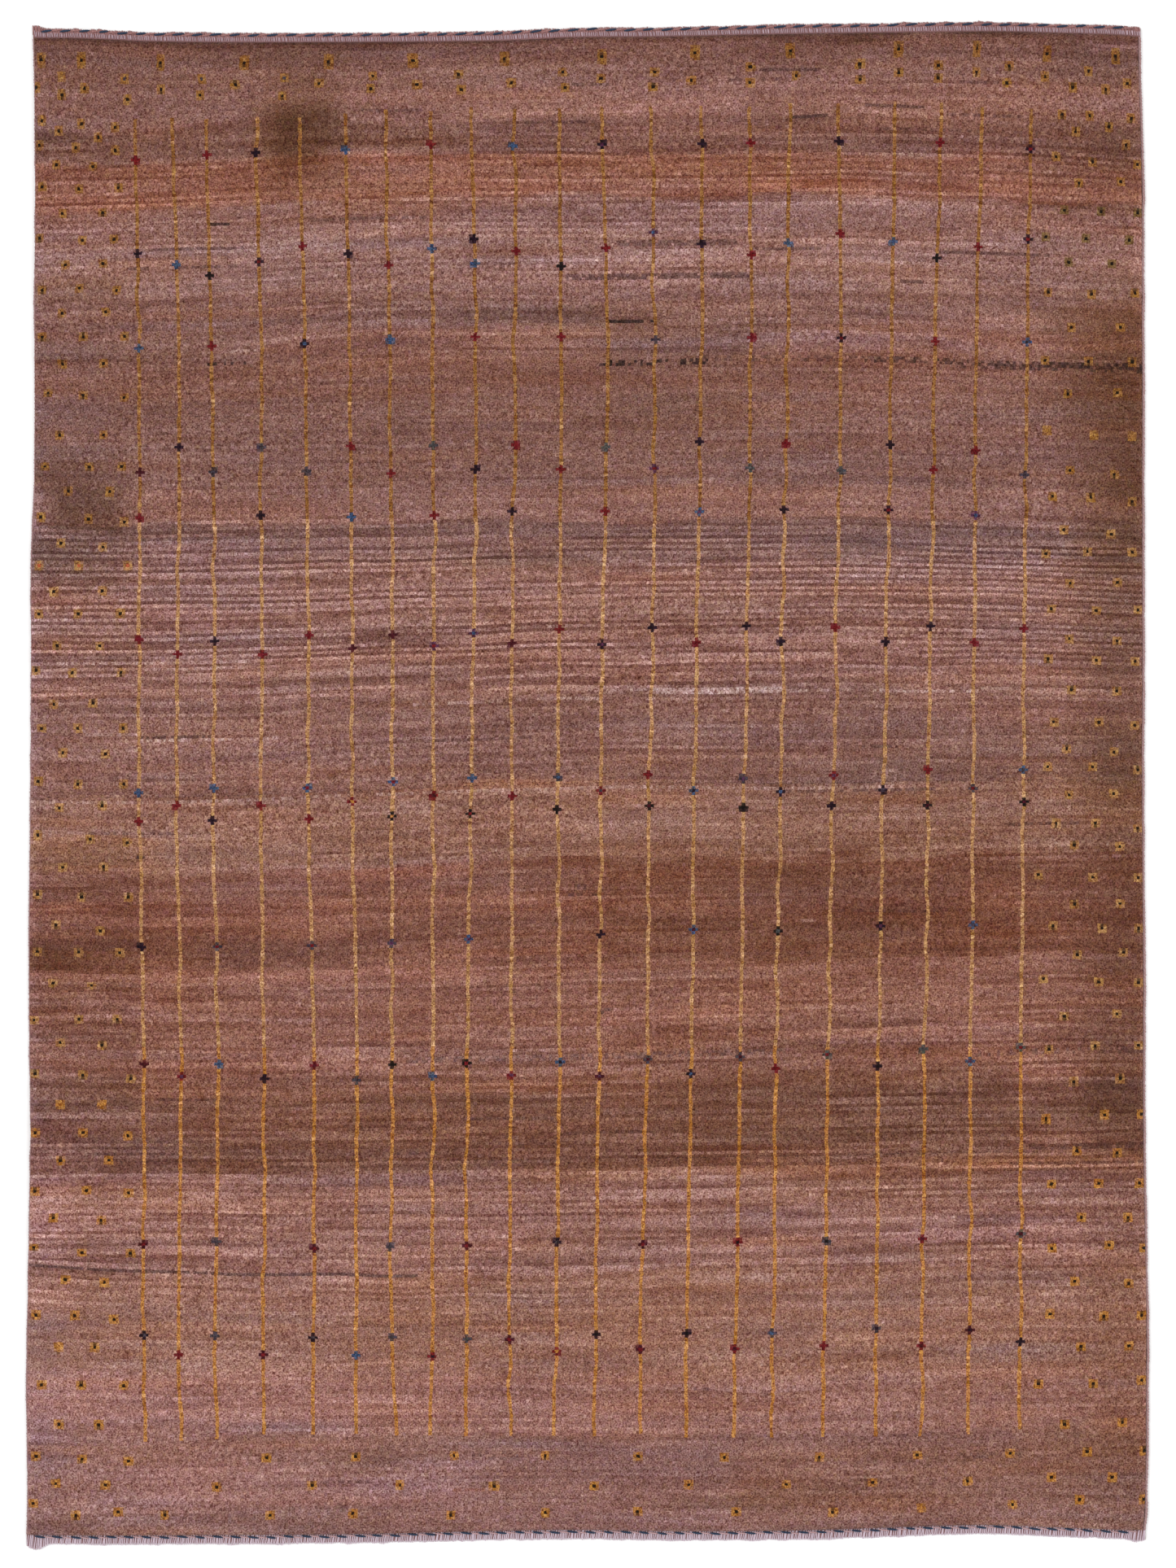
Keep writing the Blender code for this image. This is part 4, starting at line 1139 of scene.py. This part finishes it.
def yarns(name, routes, material, sides=1, join=0.0):
    """Closed yarns, each a bevelled line through points of (x, y, z, radius), as one mesh."""
    curve = bpy.data.curves.new(name, "CURVE")
    curve.dimensions = "3D"
    curve.bevel_depth = 1.0
    curve.bevel_resolution = sides
    curve.use_fill_caps = True
    for route in routes:
        spline = curve.splines.new("POLY")
        spline.points.add(len(route) - 1)
        for point, (x, y, z, radius) in zip(spline.points, route, strict=True):
            point.co = (x, y, z, 1.0)
            point.radius = radius
    scratch = bpy.data.objects.new(name + "_route", curve)
    bpy.context.scene.collection.objects.link(scratch)
    bpy.context.view_layer.update()
    made = bpy.data.meshes.new_from_object(scratch.evaluated_get(bpy.context.evaluated_depsgraph_get()))
    bpy.data.objects.remove(scratch, do_unlink=True)
    bm = bmesh.new()
    bm.from_mesh(made)
    bpy.data.meshes.remove(made)
    bmesh.ops.remove_doubles(bm, verts=bm.verts[:], dist=0.00001)
    piece = new_piece(name, bm, material)
    piece.data.shade_smooth()
    piece.data.set_sharp_from_angle(angle=math.radians(70))
    return piece


def end_limits(end):
    middle = float(end_edge(end, 0.0))
    return float(side_edge(LEFT, middle)), float(side_edge(RIGHT, middle))


# Paths of the overcast stitches: inset from the binding's edge, height, share of the radius
WHOLE_STITCH = (
    (0.0134, 0.0034, 0.85),
    (0.0075, 0.0036, 1.00),
    (0.0026, 0.0034, 1.05),
    (0.0010, 0.0022, 1.05),
    (0.0028, 0.0010, 0.95),
    (0.0100, 0.0009, 0.80),
)
INNER_STITCH = (
    (0.0122, 0.0032, 0.52),
    (0.0106, 0.0036, 0.70),
    (0.0080, 0.0037, 0.72),
    (0.0060, 0.0034, 0.55),
)
OUTER_STITCH = (
    (0.0076, 0.0033, 1.10),
    (0.0048, 0.0036, 1.40),
    (0.0022, 0.0032, 1.40),
    (0.0012, 0.0021, 1.35),
    (0.0028, 0.0011, 1.05),
    (0.0100, 0.0009, 0.80),
)


def overcast_end(name, end, path, material, start_share=0.5):
    """Slanting stitches side by side over the hem of one end."""
    rng = np.random.default_rng(53 + 7 * end + len(path))
    left, right = end_limits(end)
    count = int((right - left) / STITCH_PITCH)
    swing = np.interp(np.arange(count), np.arange(0, count + 6, 6), rng.normal(0, 0.0006, len(range(0, count + 6, 6))))
    routes = []
    for number in range(count):
        start = left + 0.0002 + (right - left - 0.0004) * (number + start_share) / count
        start += rng.normal(0, 0.00025)
        swell = rng.uniform(0.72, 1.28)
        reach = rng.normal(0, 0.00035) + swing[number]
        lean = rng.uniform(0.4, 1.5) * STITCH_SLANT
        route = []
        for inset, height, share in path:
            x = start + lean * (inset / BINDING_WIDTH) * (1 if height > 0.0022 else -0.6)
            x = min(max(x, left + 0.0003), right - 0.0003)
            inner = float(end_edge(end, x)) + inwards(end) * BINDING_WIDTH
            outer = float(end_edge(end, x)) - inwards(end) * (float(ear_reach(end, x)) + reach)
            y = outer + (inner - outer) * inset / BINDING_WIDTH
            route.append((x, y, height, STITCH_RADIUS * swell * share))
        routes.append(route)
    return yarns(name, routes, material)


def twined_floats(name, end, inset, pitch, slope, radius, materials):
    """The two yarns of a twined cord: each lies on top in turn."""
    rng = np.random.default_rng(59 + end)
    left, right = end_limits(end)
    left, right = left + 0.012, right - 0.012
    pitches = round((right - left) / pitch)
    made = []
    shares = ((0.0, 0.58, 1.0, 0.0), (0.52, 1.06, 0.72, -0.00035))
    for (start, stop, swell, sink), (suffix, material) in zip(shares, materials, strict=True):
        routes = []
        for number in range(pitches):
            first = left + (right - left) * (number + start) / pitches + rng.normal(0, 0.0005)
            last = left + (right - left) * (number + stop) / pitches + rng.normal(0, 0.0005)
            last = min(last, right + 0.004)
            aside = rng.normal(0, 0.0004)
            route = []
            for t, share in ((0, 0.35), (0.16, 0.80), (0.38, 1.0), (0.62, 1.0), (0.84, 0.80), (1, 0.35)):
                x = first + (last - first) * t
                y = float(end_edge(end, x)) + inwards(end) * (inset + aside) + slope * (t - 0.5)
                z = BINDING_TOP + FLOAT_RISE * (0.35 + 0.65 * math.sin(math.pi * t)) + sink
                route.append((x, y, z, radius * share * swell))
            routes.append(route)
        made.append(yarns(name + suffix, routes, material))
    return made


def wrapped_side(name, side, material):
    """The overcast cord up one side: the wool swells between one turn and the next."""
    key = "left" if side == LEFT else "right"
    way = 1.0 if side == LEFT else -1.0
    rng = np.random.default_rng(61 + side)
    radius = CORD_RADIUS[key]
    x_end = float(side_edge(side, 0.0)) + way * radius
    low = float(end_edge(BOTTOM, x_end)) + BINDING_WIDTH + 0.0004
    high = float(end_edge(TOP, x_end)) - BINDING_WIDTH - 0.0004
    turns = int((high - low) / WRAP_PITCH)
    sway = np.interp(np.arange(turns), np.arange(0, turns + 7, 7), rng.normal(0, 0.00040, len(range(0, turns + 7, 7))))
    route = []
    for turn in range(turns):
        swell = rng.uniform(0.88, 1.12)
        for part, share in ((0.0, 0.78), (0.5, 1.0)):
            y = low + (high - low) * (turn + part) / turns
            x = float(side_edge(side, y)) + way * radius + sway[turn] + rng.normal(0, 0.00018)
            route.append((x, y, radius + 0.0002, radius * share * (swell if part else 1.0)))
    route.append((float(side_edge(side, high)) + way * radius, high, radius + 0.0002, radius * 0.78))
    return yarns(name, [route], material, sides=2)


# ---------------------------------------------------------------- wool materials
def add_node(tree, kind, **settings):
    node = tree.nodes.new(kind)
    for name, value in settings.items():
        setattr(node, name, value)
    return node


def wool_grain():
    """A group: the tone and height of cut or spun wool ends at a given scale."""
    group = bpy.data.node_groups.new("wool_grain", "ShaderNodeTree")
    for name, value in (("Ends per metre", 480.0), ("Contrast", 0.2), ("Cloud", 0.06)):
        socket = group.interface.new_socket(name, in_out="INPUT", socket_type="NodeSocketFloat")
        socket.default_value = value
    group.interface.new_socket("Vector", in_out="INPUT", socket_type="NodeSocketVector")
    group.interface.new_socket("Tone", in_out="OUTPUT", socket_type="NodeSocketFloat")
    group.interface.new_socket("Height", in_out="OUTPUT", socket_type="NodeSocketFloat")
    came = add_node(group, "NodeGroupInput")
    goes = add_node(group, "NodeGroupOutput")
    cells = add_node(group, "ShaderNodeTexVoronoi", feature="F1")
    cells.inputs["Randomness"].default_value = 1.0
    ends = add_node(group, "ShaderNodeTexNoise")
    ends.inputs["Detail"].default_value = 2.5
    ends.inputs["Roughness"].default_value = 0.62
    cloud = add_node(group, "ShaderNodeTexNoise")
    cloud.inputs["Scale"].default_value = 9.0
    cloud.inputs["Detail"].default_value = 3.0
    drawn = add_node(group, "ShaderNodeVectorMath", operation="MULTIPLY")
    drawn.inputs[1].default_value = (1.12, 1.06, 1.0)
    finer = add_node(group, "ShaderNodeMath", operation="MULTIPLY")
    finer.inputs[1].default_value = 1.1
    gaps = add_node(group, "ShaderNodeMath", operation="MULTIPLY_ADD")
    gaps.inputs[1].default_value = -0.22
    centred = add_node(group, "ShaderNodeMath", operation="SUBTRACT")
    centred.inputs[1].default_value = 0.39
    strong = add_node(group, "ShaderNodeMath", operation="MULTIPLY_ADD")
    strong.inputs[2].default_value = 1.0
    drift = add_node(group, "ShaderNodeMath", operation="SUBTRACT")
    drift.inputs[1].default_value = 0.5
    total = add_node(group, "ShaderNodeMath", operation="MULTIPLY_ADD")
    tone = add_node(group, "ShaderNodeMath", operation="MAXIMUM")
    tone.inputs[1].default_value = 0.25
    height = add_node(group, "ShaderNodeMath", operation="SUBTRACT")
    link = group.links.new
    link(came.outputs["Vector"], drawn.inputs[0])
    link(came.outputs["Vector"], cloud.inputs["Vector"])
    for node in (cells, ends):
        link(drawn.outputs[0], node.inputs["Vector"])
    link(came.outputs["Ends per metre"], cells.inputs["Scale"])
    link(came.outputs["Ends per metre"], finer.inputs[0])
    link(finer.outputs[0], ends.inputs["Scale"])
    link(cells.outputs["Distance"], gaps.inputs[0])
    link(ends.outputs["Fac"], gaps.inputs[2])
    link(gaps.outputs[0], centred.inputs[0])
    link(centred.outputs[0], strong.inputs[0])
    link(came.outputs["Contrast"], strong.inputs[1])
    link(cloud.outputs["Fac"], drift.inputs[0])
    link(drift.outputs[0], total.inputs[0])
    link(came.outputs["Cloud"], total.inputs[1])
    link(strong.outputs[0], total.inputs[2])
    link(total.outputs[0], tone.inputs[0])
    link(ends.outputs["Fac"], height.inputs[0])
    link(cells.outputs["Distance"], height.inputs[1])
    link(tone.outputs[0], goes.inputs["Tone"])
    link(height.outputs[0], goes.inputs["Height"])
    return group


def plied_yarn():
    """A group: the slanting ridges of a plied or wrapped yarn, as a tone and a height."""
    group = bpy.data.node_groups.new("plied_yarn", "ShaderNodeTree")
    for name, value in (("Turns per metre", 300.0), ("Depth", 0.3)):
        socket = group.interface.new_socket(name, in_out="INPUT", socket_type="NodeSocketFloat")
        socket.default_value = value
    group.interface.new_socket("Vector", in_out="INPUT", socket_type="NodeSocketVector")
    group.interface.new_socket("Tone", in_out="OUTPUT", socket_type="NodeSocketFloat")
    group.interface.new_socket("Height", in_out="OUTPUT", socket_type="NodeSocketFloat")
    came = add_node(group, "NodeGroupInput")
    goes = add_node(group, "NodeGroupOutput")
    wave = add_node(group, "ShaderNodeTexWave", wave_type="BANDS", bands_direction="DIAGONAL")
    wave.inputs["Distortion"].default_value = 2.0
    wave.inputs["Detail"].default_value = 1.0
    wave.inputs["Detail Scale"].default_value = 1.5
    scale = add_node(group, "ShaderNodeMath", operation="MULTIPLY")
    scale.inputs[1].default_value = 0.314
    lower = add_node(group, "ShaderNodeMath", operation="SUBTRACT")
    lower.inputs[1].default_value = 0.6
    deep = add_node(group, "ShaderNodeMath", operation="MULTIPLY_ADD")
    deep.inputs[2].default_value = 1.0
    link = group.links.new
    link(came.outputs["Vector"], wave.inputs["Vector"])
    link(came.outputs["Turns per metre"], scale.inputs[0])
    link(scale.outputs[0], wave.inputs["Scale"])
    link(wave.outputs["Fac"], lower.inputs[0])
    link(lower.outputs[0], deep.inputs[0])
    link(came.outputs["Depth"], deep.inputs[1])
    link(deep.outputs[0], goes.inputs["Tone"])
    link(wave.outputs["Fac"], goes.inputs["Height"])
    return group


# How much the grain changes red, green and blue
GRAIN_SPREAD = (0.84, 1.10, 1.14)
GRAIN = wool_grain()
PLY = plied_yarn()


def wool_material(name, colour, ends, contrast, bump, cloud=0.06, ply=None):
    """A matt wool. colour is an (r, g, b) of 0 to 255, or None for the dyed faces."""
    material = bpy.data.materials.new(name)
    material.use_nodes = True
    tree = material.node_tree
    shader = tree.nodes["Principled BSDF"]
    shader.inputs["Roughness"].default_value = 0.95
    shader.inputs["Specular IOR Level"].default_value = 0.12
    shader.inputs["Sheen Weight"].default_value = 0.06
    shader.inputs["Sheen Roughness"].default_value = 0.5
    link = tree.links.new
    place = add_node(tree, "ShaderNodeTexCoord")
    grain = add_node(tree, "ShaderNodeGroup", node_tree=GRAIN)
    grain.inputs["Ends per metre"].default_value = ends
    grain.inputs["Contrast"].default_value = contrast
    grain.inputs["Cloud"].default_value = cloud
    link(place.outputs["Object"], grain.inputs["Vector"])
    dye = add_node(tree, "ShaderNodeMix", data_type="RGBA", blend_type="MULTIPLY")
    dye.inputs["Factor"].default_value = 1.0
    if colour is None:
        faces = add_node(tree, "ShaderNodeAttribute", attribute_name="wool")
        link(faces.outputs["Vector"], dye.inputs["A"])
    else:
        dye.inputs["A"].default_value = (*to_linear(colour), 1.0)
    tone, height = grain.outputs["Tone"], grain.outputs["Height"]
    if ply is not None:
        turns, depth = ply
        twist = add_node(tree, "ShaderNodeGroup", node_tree=PLY)
        twist.inputs["Turns per metre"].default_value = turns
        twist.inputs["Depth"].default_value = depth
        link(place.outputs["Object"], twist.inputs["Vector"])
        toned = add_node(tree, "ShaderNodeMath", operation="MULTIPLY")
        link(tone, toned.inputs[0])
        link(twist.outputs["Tone"], toned.inputs[1])
        raised = add_node(tree, "ShaderNodeMath", operation="ADD")
        link(height, raised.inputs[0])
        link(twist.outputs["Height"], raised.inputs[1])
        tone, height = toned.outputs[0], raised.outputs[0]
    even = add_node(tree, "ShaderNodeVectorMath", operation="SUBTRACT")
    even.inputs[1].default_value = (1.0, 1.0, 1.0)
    spread = add_node(tree, "ShaderNodeVectorMath", operation="MULTIPLY_ADD")
    spread.inputs[1].default_value = GRAIN_SPREAD
    spread.inputs[2].default_value = (1.0, 1.0, 1.0)
    link(tone, even.inputs[0])
    link(even.outputs[0], spread.inputs[0])
    link(spread.outputs[0], dye.inputs["B"])
    link(dye.outputs["Result"], shader.inputs["Base Color"])
    relief = add_node(tree, "ShaderNodeBump")
    relief.inputs["Strength"].default_value = 1.0
    relief.inputs["Distance"].default_value = bump
    link(height, relief.inputs["Height"])
    link(relief.outputs["Normal"], shader.inputs["Normal"])
    return material


# ---------------------------------------------------------------- the rug
def build_rug():
    nominal, across, down, line_columns = lay_out_knots()
    dyes, mingle = chart(nominal, across, down, line_columns)
    pile_wool = wool_material("pile_wool", None, 400.0, 4.0, 0.0007)
    ground_wool = wool_material("ground_wool", None, 300.0, 0.8, 0.0004)
    pale_wool = wool_material("pale_overcast_wool", (198, 179, 190), 900.0, 0.7, 0.0002)
    tick_wool = wool_material("tick_wool", (186, 160, 169), 900.0, 0.7, 0.0002)
    indigo_wool = wool_material("indigo_wool", (44, 56, 76), 900.0, 0.8, 0.0002, ply=(420.0, 0.3))
    rose_wool = wool_material("rose_twining_wool", (150, 108, 106), 900.0, 0.8, 0.0002, ply=(420.0, 0.2))
    side_wool = wool_material("side_wool", (160, 129, 128), 800.0, 0.8, 0.0002, ply=(330.0, 0.25))

    pile = lay_pile(across, down, dyes, mingle, pile_wool)
    ground = lay_ground(across, down, dyes * 0.9, line_columns, ground_wool)
    bindings = {
        "end_binding_top": (
            overcast_end("overcast_top_pale", TOP, INNER_STITCH, tick_wool),
            overcast_end("overcast_top_rose", TOP, OUTER_STITCH, rose_wool, 0.1),
        ),
        "end_binding_bottom": (
            overcast_end("overcast_bottom_pale", BOTTOM, WHOLE_STITCH, pale_wool),
        ),
    }
    # A lighter copy of the rose twining wool for the bottom cord: painted light, lifting the cord where the pile's
    # foot shades it.
    painted_light_rose_wool = wool_material("painted_light_rose_wool", (176, 142, 144), 900.0, 0.8, 0.0002)
    top_pair = (("_indigo", indigo_wool), ("_rose", rose_wool))
    bottom_pair = (("_indigo", indigo_wool), ("_rose", painted_light_rose_wool))
    twined = {
        "twined_cord_top": twined_floats(
            "twining_top", TOP, 0.0038, 0.0252, 0.0022, 0.00155, top_pair
        ),
        "twined_cord_bottom": twined_floats(
            "twining_bottom", BOTTOM, 0.0108, 0.0238, -0.0020, 0.00140, bottom_pair
        ),
    }
    cords = {
        "side_cord_left": wrapped_side("wrapped_cord_left", LEFT, side_wool),
        "side_cord_right": wrapped_side("wrapped_cord_right", RIGHT, side_wool),
    }

    for piece in [ground, *pile]:
        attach(piece, "root")
        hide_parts("rug_cloth")
    for node, pieces in bindings.items():
        for piece in pieces:
            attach(piece, "root")
            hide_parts(node)
    for node, pieces in twined.items():
        for piece in pieces:
            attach(piece, "root")
            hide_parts(node)
    for node, piece in cords.items():
        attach(piece, "root")
        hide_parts(node)


# ---------------------------------------------------------------- the room
def lay_floor():
    bm = bmesh.new()
    bmesh.ops.create_grid(bm, x_segments=1, y_segments=1, size=6.0)
    bmesh.ops.translate(bm, verts=bm.verts[:], vec=(0, 0, -0.0002))
    material = bpy.data.materials.new("pale_floor")
    material.use_nodes = True
    shader = material.node_tree.nodes["Principled BSDF"]
    shader.inputs["Base Color"].default_value = (0.90, 0.90, 0.90, 1.0)
    shader.inputs["Roughness"].default_value = 1.0
    shader.inputs["Specular IOR Level"].default_value = 0.0
    floor = new_piece("pale_floor", bm, material)


def set_lights():
    world = bpy.data.worlds.new("soft_room")
    bpy.context.scene.world = world
    world.use_nodes = True
    sky = world.node_tree.nodes["Background"]
    sky.inputs["Color"].default_value = (1.0, 1.0, 1.0, 1.0)
    sky.inputs["Strength"].default_value = 0.78
    for name, place, spread, power in (
        ("window_light", (-2.5, 0.7, 3.3), 40.0, 1.17),
        ("fill_light", (2.5, -0.7, 3.3), 50.0, 0.88),
    ):
        lamp = bpy.data.lights.new(name, "SUN")
        lamp.angle = math.radians(spread)
        lamp.energy = power
        light = bpy.data.objects.new(name, lamp)
        light.location = place
        turn = math.atan2(place[0], -place[1])
        tilt = math.atan2(math.hypot(place[0], place[1]), place[2])
        light.rotation_euler = (tilt, 0.0, turn)
        bpy.context.scene.collection.objects.link(light)


def set_camera():
    """Straight down over the rug, on the drawing's own frame."""
    camera = bpy.data.cameras.new("camera")
    height = 7.0
    camera.sensor_fit = "VERTICAL"
    camera.sensor_height = 36.0
    camera.sensor_width = 27.0
    camera.lens = 36.0 * (height - 0.006) / (1927 * UNIT)
    camera.clip_end = 50.0
    view = bpy.data.objects.new("camera", camera)
    view.location = ((722.5 - MIDDLE_ACROSS) * UNIT, (MIDDLE_UP - 963.5) * UNIT, height)
    bpy.context.scene.collection.objects.link(view)
    bpy.context.scene.camera = view
    bpy.context.scene.view_settings.view_transform = "Standard"


set_camera()
build_rug()
lay_floor()
set_lights()
